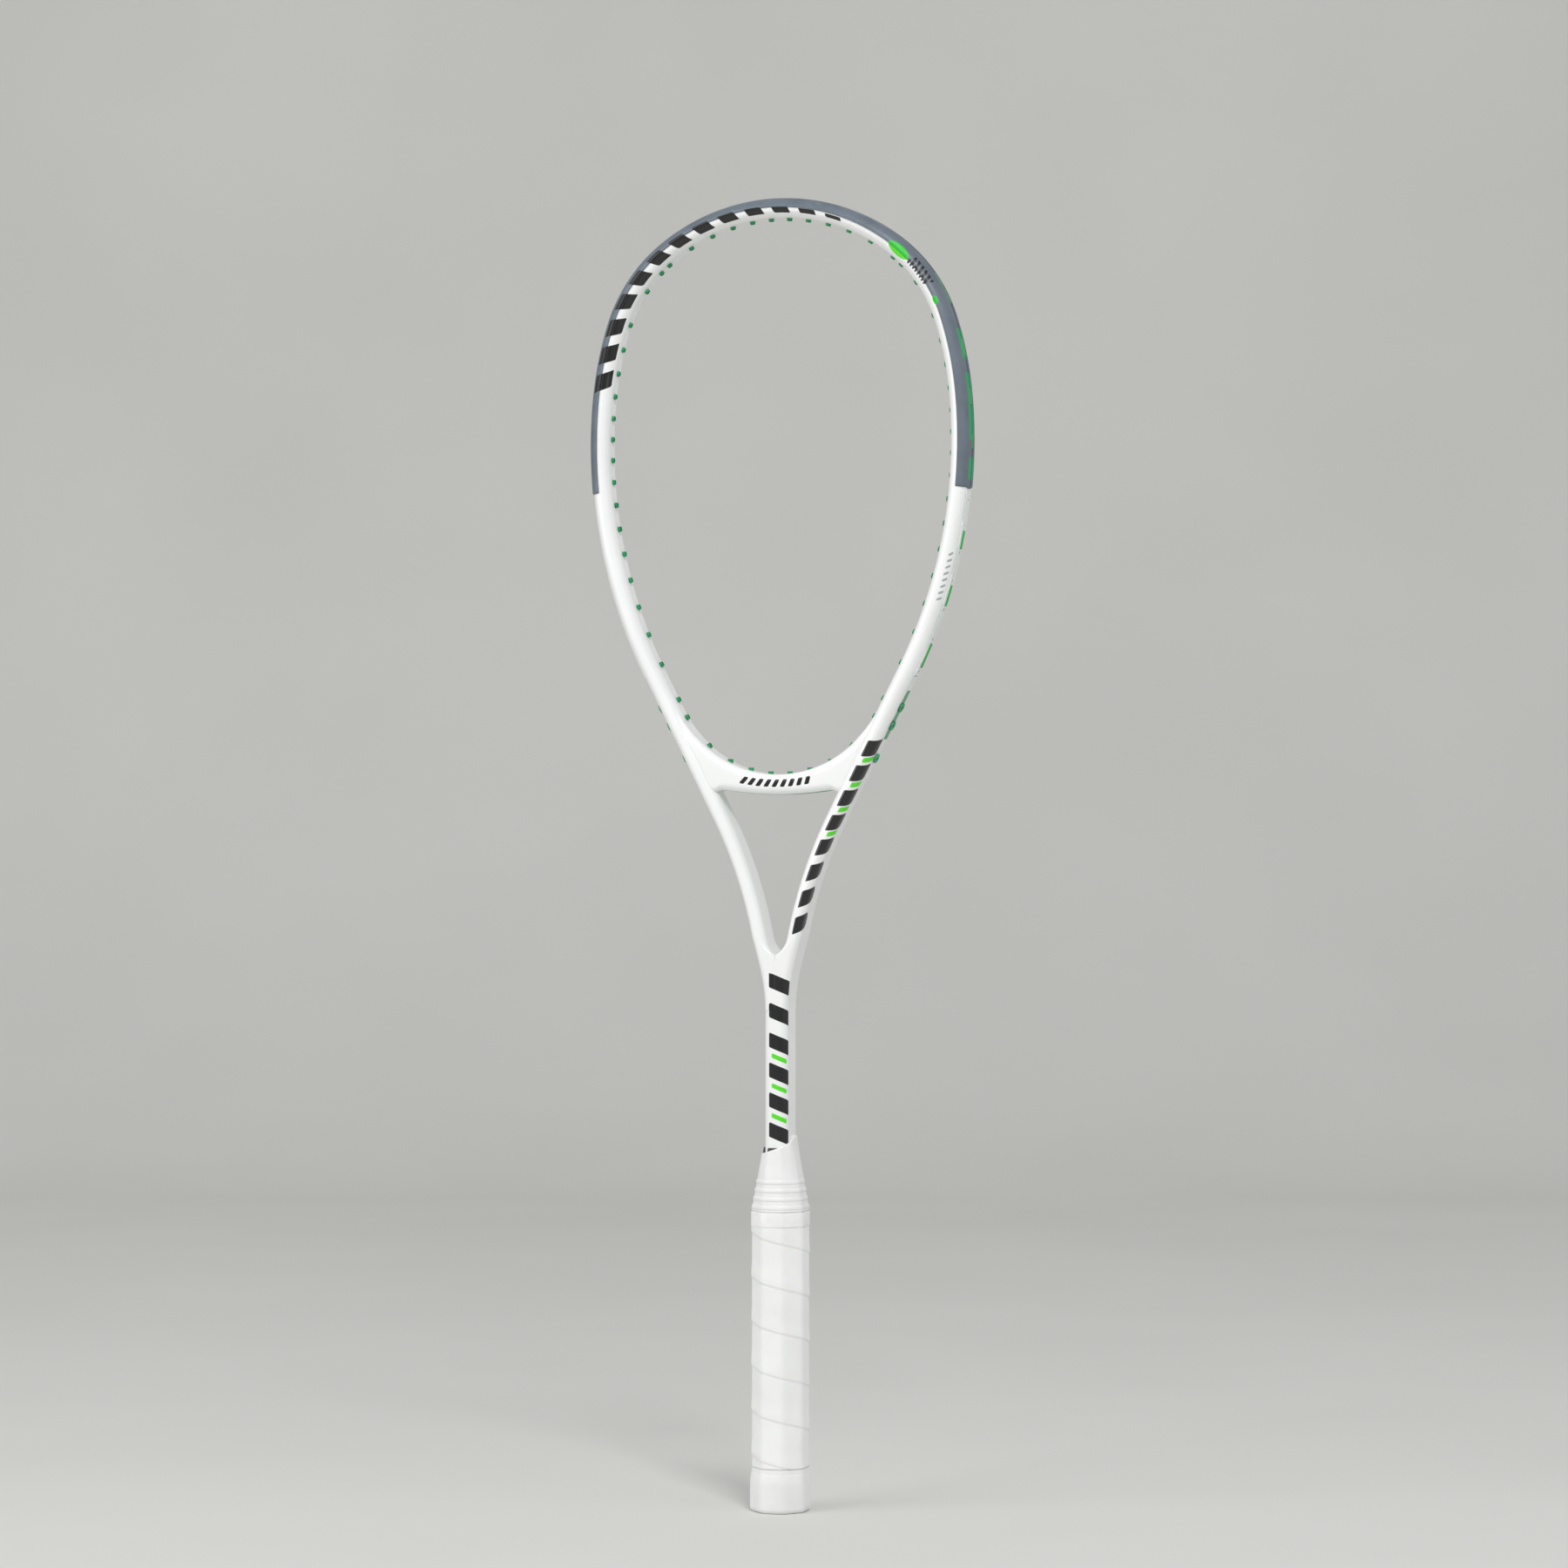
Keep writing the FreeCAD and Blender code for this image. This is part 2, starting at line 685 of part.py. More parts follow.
def cushion_grip():
    """Wrapped cushion band, as a sleeve on the pallets."""
    outer = Part.Face(handle_octagon(0, grip_bottom, grip_corner))
    inner = Part.Face(handle_octagon(grip_thickness, grip_bottom))
    return outer.cut(inner).Faces[0].extrude(UP_AXIS * (grip_top - 0.2 - grip_bottom))


def grip_collar():
    """Tapered rubber collar over the top of the handle, with four raised ribs."""
    outer = Part.makeLoft([cone_wire(0, grip_top), cone_wire(0, cone_top)], True, True)
    ribs = []
    for index in range(collar_ribs):
        low = grip_top + 1.0 + index * rib_pitch
        ends = [cone_wire(-rib_height, low), cone_wire(-rib_height, low + rib_width)]
        ribs.append(Part.makeLoft(ends, True, True))
    body = outer.fuse(ribs)
    return largest(body.cut([cone_over_pallets(grip_thickness + fit_gap), shaft_room()]))


def finishing_tape():
    """Tape band that holds the grip's end, level with the top of the cushion."""
    low = grip_top - tape_width - 0.4
    outer = Part.Face(handle_octagon(-tape_thickness, low, grip_corner))
    inner = Part.Face(handle_octagon(-0.03, low, grip_corner))
    return outer.cut(inner).Faces[0].extrude(UP_AXIS * tape_width)


def grip_start_tack():
    """Round-headed tack that pins the start of the grip band to the pallet."""
    base = V(0, grip_half_depth - grip_thickness - 0.45, grip_bottom + 4)
    head = Part.makeCylinder(2.0, 0.5, base, DEPTH_AXIS)
    return head.fuse(Part.makeCone(0.5, 0.15, 2.0, base, DEPTH_AXIS * -1))


# ---------------------------------------------------------------- grommets and bumper

def barrels(marks, root, placement_of):
    """Grommet tubes along the outward direction, and the bores through them."""
    tubes = []
    bores = []
    for mark in marks:
        inner = -beam_half_width - barrel_tip
        tubes.append(hole_across(placement_of(mark), barrel_radius, inner, root))
        bores.append(hole_across(placement_of(mark), barrel_bore, inner - 1, root + 4))
    return tubes, bores


def bumper_guard():
    """Guard over the top of the head: lips on both faces, a string channel and grommets."""
    clear = beam_half_width + fit_gap
    depth_clear = beam_half_depth + fit_gap
    full = beam_half_width + bumper_thickness
    depth_full = beam_half_depth + bumper_thickness
    outer = Part.Face(rectangle_wire(-full, full, depth_full, beam_corner + bumper_thickness))
    inner = Part.Face(rectangle_wire(-clear, clear, depth_clear, beam_corner + fit_gap))
    uncovered = plain_rectangle(-far, bumper_lip_end, far)
    shell = outer.cut([inner, uncovered])
    rib = plain_rectangle(beam_half_width - groove_depth + fit_gap, full - 0.3, groove_half_depth - fit_gap)
    channel = plain_rectangle(beam_half_width, full + 1, channel_half_depth)
    section = shell.fuse(rib).cut(channel)
    half = line.sweep(section, 0, bumper_station)
    marks = [s for s in stations if s < bumper_station]
    tubes, bores = barrels(marks, beam_half_width - 0.6, line.placement)
    half = half.fuse(tubes).cut(bores)
    return largest(with_mirror(half))


def side_grommet_strip():
    """Strip in the right groove below the bumper, with its grommets and string saddles."""
    low = beam_half_width - groove_depth + fit_gap
    base = plain_rectangle(low, beam_half_width + strip_proud, groove_half_depth - fit_gap)
    start = bumper_station + 0.6
    strip = line.sweep(base, start, shoulder_station - 0.6)
    marks = [s for s in stations if s > bumper_station]
    tubes, bores = barrels(marks, beam_half_width - 0.3, line.placement)
    return largest(strip.fuse(tubes).cut(bores))


def string_pads():
    """Small pads in the channel, where a cross string would pass from hole to hole."""
    pads = []
    for index, (start, end) in enumerate(zip(stations, stations[1:])):
        crosses_bumper_end = start < bumper_station < end
        if index < mains_per_side or index % 2 == 0 or crosses_bumper_end:
            continue
        floor = beam_half_width if end < bumper_station else beam_half_width + strip_proud
        section = plain_rectangle(floor, floor + pad_height, pad_half_depth)
        pads.append(line.sweep(section, start + hole_radius + 0.6, end - hole_radius - 0.6))
    return pads + [mirrored(pad) for pad in pads]


def bridge_grommet_strip():
    """Strip under the bridge, with six upright grommets."""
    band = under_bridge_band(groove_half_depth - fit_gap, groove_depth - fit_gap, -strip_proud,
                             main_offsets()[2] + 3.4)
    tubes = bridge_bars(barrel_radius, barrel_tip, -0.4)
    bores = bridge_bars(barrel_bore, barrel_tip + 2, 3)
    return largest(band.fuse(tubes).cut(bores))


def shoulder_grommets():
    """Single grommets through both shoulders: a tube with a flat head outside."""
    tubes = shoulder_bars(barrel_radius, barrel_tip, beam_half_width + 0.6)
    heads = shoulder_bars(2.6, 0, beam_half_width + 0.9)
    solids = []
    bores = shoulder_bars(barrel_bore, barrel_tip + 2, beam_half_width + 4)
    for tube, wide, bore in zip(tubes, heads, bores):
        head = wide.common(head_slab())
        solids.append(tube.fuse(head).cut(bore))
    return solids + [mirrored(solid) for solid in solids]


def head_slab():
    """Thin slab along the outer face of the straight arm, where grommet heads lie."""
    slab = Part.makeBox(0.8, 20, 200, V(beam_half_width + fit_gap, -10, -100))
    middle = (shoulder_station + shoulder_station + arm_straight) / 2
    return placed(slab, line.placement(middle))


# ---------------------------------------------------------------- files

def save(name, shape):
    """Write one piece, or a group of like pieces, to its file."""
    if isinstance(shape, list):
        shape = Part.makeCompound(shape)
    shape.exportStep(f"parts/{name}.step")
    box = shape.optimalBoundingBox(False, False)
    print(f"{name:28s} solids {len(shape.Solids)} valid {shape.isValid()} volume {shape.Volume:9.0f}",
          f"x {box.XMin:7.1f} {box.XMax:7.1f} y {box.YMin:6.1f} {box.YMax:6.1f}",
          f"z {box.ZMin:6.1f} {box.ZMax:6.1f}")


print("holes per side", len(stations), "heights", [round(line.point(s).z) for s in stations])
os.makedirs("parts", exist_ok=True)
arm, bridge_shell, bridge_core = throat_pieces()
leg = shaft_leg()
pallet = handle_pallet()
side_strip = side_grommet_strip()

save("head_hoop", head_hoop())
save("throat_arm_left", mirrored(arm))
save("throat_arm_right", arm)
save("throat_bridge", bridge_shell)
save("throat_bridge_core", bridge_core)
save("throat_yoke", throat_yoke())
save("shaft_leg_left", mirrored(leg))
save("shaft_leg_right", leg)
save("shaft_wrap", shaft_wrap())
save("handle_pallet_left", mirrored(pallet))
save("handle_pallet_right", pallet)
save("butt_cap", butt_cap())
save("butt_cap_plug", butt_cap_plug())
save("butt_cap_staples", butt_cap_staples())
save("cushion_grip", cushion_grip())
save("grip_start_tack", grip_start_tack())
save("finishing_tape", finishing_tape())
save("grip_collar", grip_collar())
save("bumper_guard", bumper_guard())
save("side_grommet_strip_left", mirrored(side_strip))
save("side_grommet_strip_right", side_strip)
save("string_pads", string_pads())
save("bridge_grommet_strip", bridge_grommet_strip())
save("shoulder_grommets", shoulder_grommets())
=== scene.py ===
import logging
import math
from dataclasses import dataclass, field
from enum import Enum

import bpy
import numpy as np
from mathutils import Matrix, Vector


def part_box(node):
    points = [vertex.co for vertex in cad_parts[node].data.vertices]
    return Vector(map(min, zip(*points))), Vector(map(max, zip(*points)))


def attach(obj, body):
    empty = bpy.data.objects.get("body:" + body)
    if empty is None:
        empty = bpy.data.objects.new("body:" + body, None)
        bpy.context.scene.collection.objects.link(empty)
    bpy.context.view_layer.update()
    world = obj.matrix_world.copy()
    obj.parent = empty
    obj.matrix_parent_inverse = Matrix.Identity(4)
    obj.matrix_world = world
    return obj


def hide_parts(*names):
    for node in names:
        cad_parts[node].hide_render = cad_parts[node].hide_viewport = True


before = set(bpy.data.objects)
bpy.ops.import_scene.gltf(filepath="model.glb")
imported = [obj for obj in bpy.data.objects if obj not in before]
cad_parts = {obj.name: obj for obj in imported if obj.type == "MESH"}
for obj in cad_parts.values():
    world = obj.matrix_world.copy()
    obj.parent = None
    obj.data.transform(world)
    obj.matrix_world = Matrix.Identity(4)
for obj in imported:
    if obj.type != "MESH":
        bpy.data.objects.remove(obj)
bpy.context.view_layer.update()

# A squash racket that stands upright on its butt cap, unstrung.
# Lengths in this file are millimetres unless a name says otherwise; they turn to
# metres in one place, when a mesh is made. +Z runs up the handle, X is the width of
# the head, Y its thickness, and the front face looks towards -Y.

log = logging.getLogger("racket")
MM = 0.001
Array = np.ndarray


# ============================================================ small tools

def smooth_step(value: Array) -> Array:
    """Cubic step: 3t^2 - 2t^3 of the value held between 0 and 1."""
    t = np.clip(value, 0.0, 1.0)
    return t * t * (3.0 - 2.0 * t)


def ramp(value: Array, low: float, high: float) -> Array:
    """Smooth step that rises from 0 at low to 1 at high."""
    return smooth_step((np.asarray(value, float) - low) / (high - low))


def linear_colour(hex_code: str) -> tuple[float, float, float, float]:
    """Turn an sRGB hex colour such as #f4f4f2 into linear RGBA.

    Args:
        hex_code: the colour, with its leading hash.

    Returns:
        Linear red, green, blue and an alpha of 1.
    """
    parts = [int(hex_code[i:i + 2], 16) / 255.0 for i in (1, 3, 5)]
    linear = [p / 12.92 if p <= 0.04045 else ((p + 0.055) / 1.055) ** 2.4 for p in parts]
    return linear[0], linear[1], linear[2], 1.0


def box_mm(node: str) -> tuple[Array, Array]:
    """Lowest and highest corner of a CAD node, in millimetres."""
    low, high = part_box(node)
    return np.array(low) / MM, np.array(high) / MM


# ============================================================ meshes

@dataclass
class Patch:
    """A grid of points that makes one strip of surface.

    Attributes:
        points: rows x columns x 3, in millimetres.
        wrap: the last column joins the first.
        wrap_rows: the last row joins the first, as on a ring.
        cap_start: close the first row with a fan.
        cap_end: close the last row with a fan.
        fields: named values for each point, rows x columns.
    """

    points: Array
    wrap: bool = True
    wrap_rows: bool = False
    cap_start: bool = True
    cap_end: bool = True
    fields: dict[str, Array] = field(default_factory=dict)

    def quads(self) -> Array:
        """Corner numbers of the grid's quads, one row for each.

        Returns:
            Faces x 4.
        """
        rows, columns = self.points.shape[:2]
        index = np.arange(rows * columns).reshape(rows, columns)
        if self.wrap_rows:
            index = np.vstack([index, index[:1]])
        right = np.roll(index, -1, axis=1) if self.wrap else index[:, 1:]
        here = index if self.wrap else index[:, :-1]
        return np.stack([here[:-1], right[:-1], right[1:], here[1:]], axis=-1).reshape(-1, 4)

    def fans(self, first_new: int) -> tuple[Array, Array, list[int]]:
        """Triangles that close the open ends round a point in the middle of each.

        Args:
            first_new: number that the first added point gets.

        Returns:
            The added points, the triangles, and for each added point the grid row it closes.
        """
        rows, columns = self.points.shape[:2]
        centres, triangles, closed_rows = [], [], []
        ring = np.arange(columns)
        for wanted, row in ((self.cap_start, 0), (self.cap_end, rows - 1)):
            if not wanted or self.wrap_rows:
                continue
            middle = np.full(columns, first_new + len(centres))
            start = ring + row * columns
            end = np.roll(ring, -1) + row * columns
            pair = (end, start) if row == 0 else (start, end)
            triangles.append(np.stack([pair[0], pair[1], middle], axis=-1))
            centres.append(self.points[row].mean(axis=0))
            closed_rows.append(row)
        if not centres:
            return np.zeros((0, 3)), np.zeros((0, 3), int), closed_rows
        return np.array(centres), np.concatenate(triangles), closed_rows


def signed_volume(points: Array, quads: Array, triangles: Array) -> float:
    """Volume inside the faces, positive where they face outwards.

    Each face adds a sixth of the triple product of its corners.

    Args:
        points: corner places.
        quads: corner numbers of four-sided faces.
        triangles: corner numbers of triangles.

    Returns:
        The volume, in cubic units of the points.
    """
    halves = [quads[:, (0, 1, 2)], quads[:, (0, 2, 3)], triangles]
    corners = points[np.concatenate(halves)]
    return float(np.einsum("ij,ij->", corners[:, 0], np.cross(corners[:, 1], corners[:, 2])) / 6.0)


def make_object(name: str, patches: list[Patch], crease_degrees: float = 38.0) -> bpy.types.Object:
    """Build one mesh object from patches, with its faces outwards.

    Args:
        name: name of the piece.
        patches: the strips of surface it consists of; each is closed on its own.
        crease_degrees: edges sharper than this are shaded as edges.

    Returns:
        The object, at the origin, with its place in its mesh.
    """
    points, faces_4, faces_3, values = [], [], [], {}
    offset = 0
    for patch in patches:
        grid = patch.points.reshape(-1, 3)
        centres, triangles, closed_rows = patch.fans(len(grid))
        local = np.concatenate([grid, centres])
        quads = patch.quads()
        if signed_volume(local, quads, triangles) < 0:
            quads = quads[:, ::-1]
            triangles = triangles[:, ::-1]
        for key, value in patch.fields.items():
            flat = np.broadcast_to(value, patch.points.shape[:2]).reshape(-1)
            ends = [np.broadcast_to(value, patch.points.shape[:2])[row].mean() for row in closed_rows]
            values.setdefault(key, []).append(np.concatenate([flat, ends]))
        points.append(local)
        faces_4.append(quads + offset)
        faces_3.append(triangles + offset)
        offset += len(local)
    mesh = bpy.data.meshes.new(name)
    all_quads, all_triangles = np.concatenate(faces_4), np.concatenate(faces_3)
    mesh.vertices.add(offset)
    mesh.vertices.foreach_set("co", (np.concatenate(points) * MM).astype(np.float32).ravel())
    corner_total = all_quads.size + all_triangles.size
    mesh.loops.add(corner_total)
    mesh.loops.foreach_set("vertex_index", np.concatenate([all_quads.ravel(), all_triangles.ravel()]))
    mesh.polygons.add(len(all_quads) + len(all_triangles))
    sizes = np.concatenate([np.full(len(all_quads), 4), np.full(len(all_triangles), 3)])
    starts = np.concatenate([[0], np.cumsum(sizes)[:-1]])
    mesh.polygons.foreach_set("loop_start", starts)
    mesh.polygons.foreach_set("loop_total", sizes)
    for key, parts in values.items():
        layer = mesh.attributes.new(key, "FLOAT", "POINT")
        layer.data.foreach_set("value", np.concatenate(parts).astype(np.float32))
    mesh.update(calc_edges=True)
    mesh.validate()
    mesh.shade_smooth()
    mesh.set_sharp_from_angle(angle=math.radians(crease_degrees))
    piece = bpy.data.objects.new(name, mesh)
    bpy.context.scene.collection.objects.link(piece)
    return piece


def finish_piece(piece: bpy.types.Object, material: bpy.types.Material, slot: str, *nodes: str) -> None:
    """Give a piece its material, and let it stand for CAD nodes.

    Args:
        piece: the object.
        material: what it is made of.
        slot: not used.
        nodes: the CAD nodes that it replaces, or none.
    """
    piece.data.materials.append(material)
    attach(piece, "root")
    if nodes:
        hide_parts(*nodes)
    stands_for = ", ".join(nodes) or "itself"
    log.info("%s: %d faces, stands for %s", piece.name, len(piece.data.polygons), stands_for)


# ============================================================ sections

@dataclass(frozen=True)
class Ring:
    """Shared layout of a closed section: flats joined by four rounded corners.

    The ring starts at the middle of the back, runs down the inner side, over the
    front and back up the outer side. Each entry says how much of the flats and
    which angle of a corner a point uses.
    """

    corner_steps: int = 11
    flat_steps: int = 3
    side_steps: int = 6

    def layout(self) -> tuple[Array, Array, Array, Array]:
        """Shares of the two half flats, the corner's angle, and 1 on the outer side's flat.

        Returns:
            Share of the flat across, share of the flat in depth, angle, and the outer side's mark.
        """
        quarter = np.linspace(0.0, math.pi / 2, self.corner_steps)
        flat_x, flat_y, angle, groove = [], [], [], []
        half = np.linspace(0.0, 1.0, self.flat_steps + 1)
        side = np.linspace(1.0, -1.0, self.side_steps + 1)
        wall = np.clip(side[1:-1], -0.985, 0.985)
        wall[0], wall[-1] = 0.985, -0.985

        def add(x_share: Array, y_share: Array, turn: Array, mark: float) -> None:
            """Append one stretch of the ring."""
            flat_x.append(np.broadcast_to(x_share, turn.shape))
            flat_y.append(np.broadcast_to(y_share, turn.shape))
            angle.append(turn)
            groove.append(np.full(turn.shape, mark))

        up, left, down, right = math.pi / 2, math.pi, 3 * math.pi / 2, 2 * math.pi
        add(-half[:-1], 1.0, np.full(self.flat_steps, up), 0.0)
        add(-1.0, 1.0, up + quarter, 0.0)
        add(-1.0, wall, np.full(len(wall), left), 0.0)
        add(-1.0, -1.0, left + quarter, 0.0)
        add(-half[::-1][1:-1], -1.0, np.full(self.flat_steps - 1, down), 0.0)
        add(half[:-1], -1.0, np.full(self.flat_steps, down), 0.0)
        add(1.0, -1.0, down + quarter, 0.0)
        add(1.0, -wall, np.full(len(wall), right), 1.0)
        add(1.0, 1.0, quarter, 0.0)
        add(half[::-1][1:-1], 1.0, np.full(self.flat_steps - 1, up), 0.0)
        return tuple(np.concatenate(part) for part in (flat_x, flat_y, angle, groove))

    def front_index(self) -> int:
        """Place of the middle of the front in the ring."""
        return 2 * self.flat_steps - 1 + 2 * self.corner_steps + self.side_steps - 1

    def shape(self, half_width: Array, half_depth: Array, flat_width: Array, flat_depth: Array,
              power: Array, groove: Array = 0.0) -> tuple[Array, Array, Array]:
        """Sections for a row of stations.

        A corner follows x = fx + (a - fx) |cos t|^(2/p) and y = fy + (b - fy) |sin t|^(2/p),
        with a and b the half sizes, fx and fy the half flats and p the corner's power.

        Args:
            half_width: half size across, in the string plane.
            half_depth: half size from front to back.
            flat_width: half length of the flat at the front and back.
            flat_depth: half length of the flat at the sides.
            power: 2 for round corners, more for fuller ones.
            groove: depth of the groove along the outer side.

        Returns:
            Distance across, distance in depth, and the way round from the front's middle.
        """
        a, b, fx, fy, p, g = (np.atleast_1d(np.asarray(v, float))[:, None] for v in
                              (half_width, half_depth, flat_width, flat_depth, power, groove))
        share_x, share_y, angle, mark = self.layout()
        cosine, sine = np.cos(angle), np.sin(angle)
        round_x = np.sign(np.round(cosine, 9)) * np.abs(cosine) ** (2.0 / p)
        round_y = np.sign(np.round(sine, 9)) * np.abs(sine) ** (2.0 / p)
        across = share_x * fx + (a - fx) * round_x
        depth = share_y * fy + (b - fy) * round_y
        across, depth = np.broadcast_arrays(across, depth)
        steps = np.hypot(np.diff(across, axis=1), np.diff(depth, axis=1))
        way = np.concatenate([np.zeros((len(steps), 1)), np.cumsum(steps, axis=1)], axis=1)
        way = way - way[:, self.front_index()][:, None]
        return across - g * mark, depth, way


# ============================================================ the frame's centre line

@dataclass(frozen=True)
class CentreLine:
    """Chain of tangent arcs from the top of the head to the shaft.

    A station is the length along the chain from the top, positive to the right
    and negative to the left. An arc's heading grows evenly with the length, so
    x' = cos(heading) and z' = -sin(heading) add up to a closed formula.
    """

    top: float
    head_arcs: tuple[tuple[float, float], ...] = ((102.5, 37.0), (79.5, 35.0), (180.0, 13.0))
    shoulder_radius: float = 262.0
    arm_lean: float = 27.3
    arm_straight: float = 86.0
    neck_radius: float = 229.0

    def table(self) -> tuple[Array, Array, Array, Array, Array]:
        """Start length, x, z, heading and curvature of each stretch.

        Returns:
            Five arrays, one entry for each stretch and one for the end.
        """
        turned = sum(turn for _, turn in self.head_arcs)
        bends = [(radius * math.radians(turn), 1.0 / radius) for radius, turn in self.head_arcs]
        shoulder_turn = math.radians(90 + self.arm_lean - turned)
        bends.append((self.shoulder_radius * shoulder_turn, 1 / self.shoulder_radius))
        bends.append((self.arm_straight, 0.0))
        bends.append((self.neck_radius * math.radians(self.arm_lean), -1.0 / self.neck_radius))
        rows = [(0.0, 0.0, self.top, 0.0, bends[0][1])]
        for index, (length, curve) in enumerate(bends):
            start, x, z, heading, _ = rows[-1]
            turn = heading + curve * length
            if curve:
                x += (math.sin(turn) - math.sin(heading)) / curve
                z += (math.cos(turn) - math.cos(heading)) / curve
            else:
                x += length * math.cos(heading)
                z -= length * math.sin(heading)
            following = bends[index + 1][1] if index + 1 < len(bends) else 0.0
            rows.append((start + length, x, z, turn, following))
        return tuple(np.array(column) for column in zip(*rows))

    def at(self, station: Array) -> tuple[Array, Array, Array]:
        """x, z and heading at stations; the left half is the right one mirrored.

        Args:
            station: stations along the line.

        Returns:
            x, z and heading, in millimetres and radians.
        """
        starts, xs, zs, headings, curves = self.table()
        side = np.where(np.asarray(station) < 0, -1.0, 1.0)
        length = np.abs(np.asarray(station, float))
        index = np.clip(np.searchsorted(starts, length, side="right") - 1, 0, len(starts) - 1)
        along, curve, heading = length - starts[index], curves[index], headings[index]
        turn = heading + curve * along
        safe = np.where(curve == 0, 1.0, curve)
        straight = curve == 0
        bent_x, bent_z = (np.sin(turn) - np.sin(heading)) / safe, (np.cos(heading) - np.cos(turn)) / safe
        x = xs[index] + np.where(straight, along * np.cos(heading), bent_x)
        z = zs[index] - np.where(straight, along * np.sin(heading), bent_z)
        return side * x, z, side * turn

    def shoulder(self) -> float:
        """Station where the head's tube meets the arm."""
        return float(self.table()[0][len(self.head_arcs) + 1])

    def height_station(self, height: float) -> float:
        """Station on the right below the head's widest point, at a height."""
        lengths = np.linspace(self.table()[0][1], self.table()[0][-1], 4000)
        return float(np.interp(-height, -self.at(lengths)[1], lengths))

    def sweep(self, station: Array, across: Array, depth: Array, level: Array = 0.0) -> Array:
        """Carry a section along the line.

        A point lies at the line's point plus across times the outward direction
        (sin heading, cos heading), and depth along Y. Where level rises to 1 the
        section's plane turns to level, and the section widens by 1/cos of the turn.

        Args:
            station: one station for each row.
            across: outward distances, rows x columns.
            depth: depths, rows x columns.
            level: 0 for a section square to the line, 1 for a level one.

        Returns:
            Points, rows x columns x 3.
        """
        x, z, heading = self.at(station)
        flat = np.sign(heading) * math.pi / 2
        turned = heading + (flat - heading) * level
        stretch = 1.0 / np.cos(turned - heading)
        out_x = (np.sin(turned) * stretch)[:, None]
        out_z = (np.cos(turned) * stretch)[:, None]
        return np.stack([x[:, None] + across * out_x, depth, z[:, None] + across * out_z], axis=-1)


# ============================================================ painted marks

class Paint(Enum):
    """The colours that the marks on the lacquer are printed in."""

    BLACK = "ink_black"
    GREEN = "ink_green"
    GREY = "ink_grey"
    EMERALD = "ink_emerald"


@dataclass(frozen=True)
class Mark:
    """One plain bar printed on the frame.

    Attributes:
        paint: its colour.
        start: station along the frame where it begins.
        end: station where it ends.
        middle: way round from the front's middle, outwards positive.
        half: half of its width, measured the same way.
        slant: lean, as stations gained for each millimetre of way.
        swell: round it off to both ends instead of keeping it straight.
    """

    paint: Paint
    start: float
    end: float
    middle: float
    half: float
    slant: float = 0.0
    swell: bool = False

    def distance(self, station: Array, way: Array) -> Array:
        """Signed distance to the bar's edge, negative inside.

        It is the larger of the distance across, |way - middle| - half, and the one
        past either end. A swelling bar's half width is half * sqrt(sin(pi t)), with t
        going from 0 to 1 along it.

        Args:
            station: stations of the points.
            way: their way round the section.

        Returns:
            The distances, in millimetres.
        """
        shifted = station + self.slant * way
        half = np.full(np.shape(shifted), self.half)
        if self.swell:
            t = np.clip((shifted - self.start) / (self.end - self.start), 0.001, 0.999)
            half = half * np.sqrt(np.sin(math.pi * t))
        past = np.maximum(self.start - shifted, shifted - self.end)
        return np.maximum(np.abs(way - self.middle) - half, past)


def hatch(paint: Paint, start: float, end: float, count: int, begin: float, finish: float,
          slant: float, share: float = 0.5, last: float = 1.0) -> list[Mark]:
    """A row of slanted bars at one pitch, which may grow slimmer along the row.

    Bar i starts at start + pitch i, and its half width is the first one's times
    1 + (last - 1) i / (count - 1).

    Args:
        paint: colour of the bars.
        start: station where the row begins.
        end: station where it ends.
        count: number of bars.
        begin: lower edge of the first bar, as the way round.
        finish: upper edge of the first bar.
        slant: lean of the bars.
        share: part of the pitch that a bar fills.
        last: width of the last bar as a share of the first one's.

    Returns:
        The bars.
    """
    pitch = (end - start) / count
    middle, half = (begin + finish) / 2, (finish - begin) / 2
    bars = []
    for index in range(count):
        left = start + pitch * index
        shrink = 1.0 + (last - 1.0) * index / (count - 1)
        bars.append(Mark(paint, left, left + pitch * share, middle, half * shrink, slant))
    return bars


def paint_fields(marks: list[Mark], station: Array, way: Array) -> dict[str, Array]:
    """Signed distance to the nearest mark of each paint, for every point.

    Args:
        marks: the bars.
        station: stations of the points.
        way: their way round the section.

    Returns:
        One array of distances for each paint, by its attribute name.
    """
    station, way = np.broadcast_arrays(station, way)
    result = {}
    for paint in Paint:
        nearest = np.full(station.shape, 9.0)
        for mark in marks:
            if mark.paint is paint:
                nearest = np.minimum(nearest, mark.distance(station, way))
        result[paint.value] = nearest
    return result


# ============================================================ materials

class Texture(Enum):
    """Kinds of small relief that a moulded or coated surface has."""

    GRAIN = "grain"
    PORES = "pores"
    CELLS = "cells"


def add_node(tree: bpy.types.NodeTree, kind: str, settings: dict | None = None,
             inputs: dict | None = None) -> bpy.types.Node:
    """Add a node, set its properties and fill or link its inputs.

    Args:
        tree: the node tree.
        kind: the node's type name.
        settings: its properties by name.
        inputs: its inputs by name or number; a socket is linked, anything else is set.

    Returns:
        The node.
    """
    node = tree.nodes.new(kind)
    for key, value in (settings or {}).items():
        setattr(node, key, value)
    for key, value in (inputs or {}).items():
        if isinstance(value, bpy.types.NodeSocket):
            tree.links.new(value, node.inputs[key])
        else:
            node.inputs[key].default_value = value
    return node


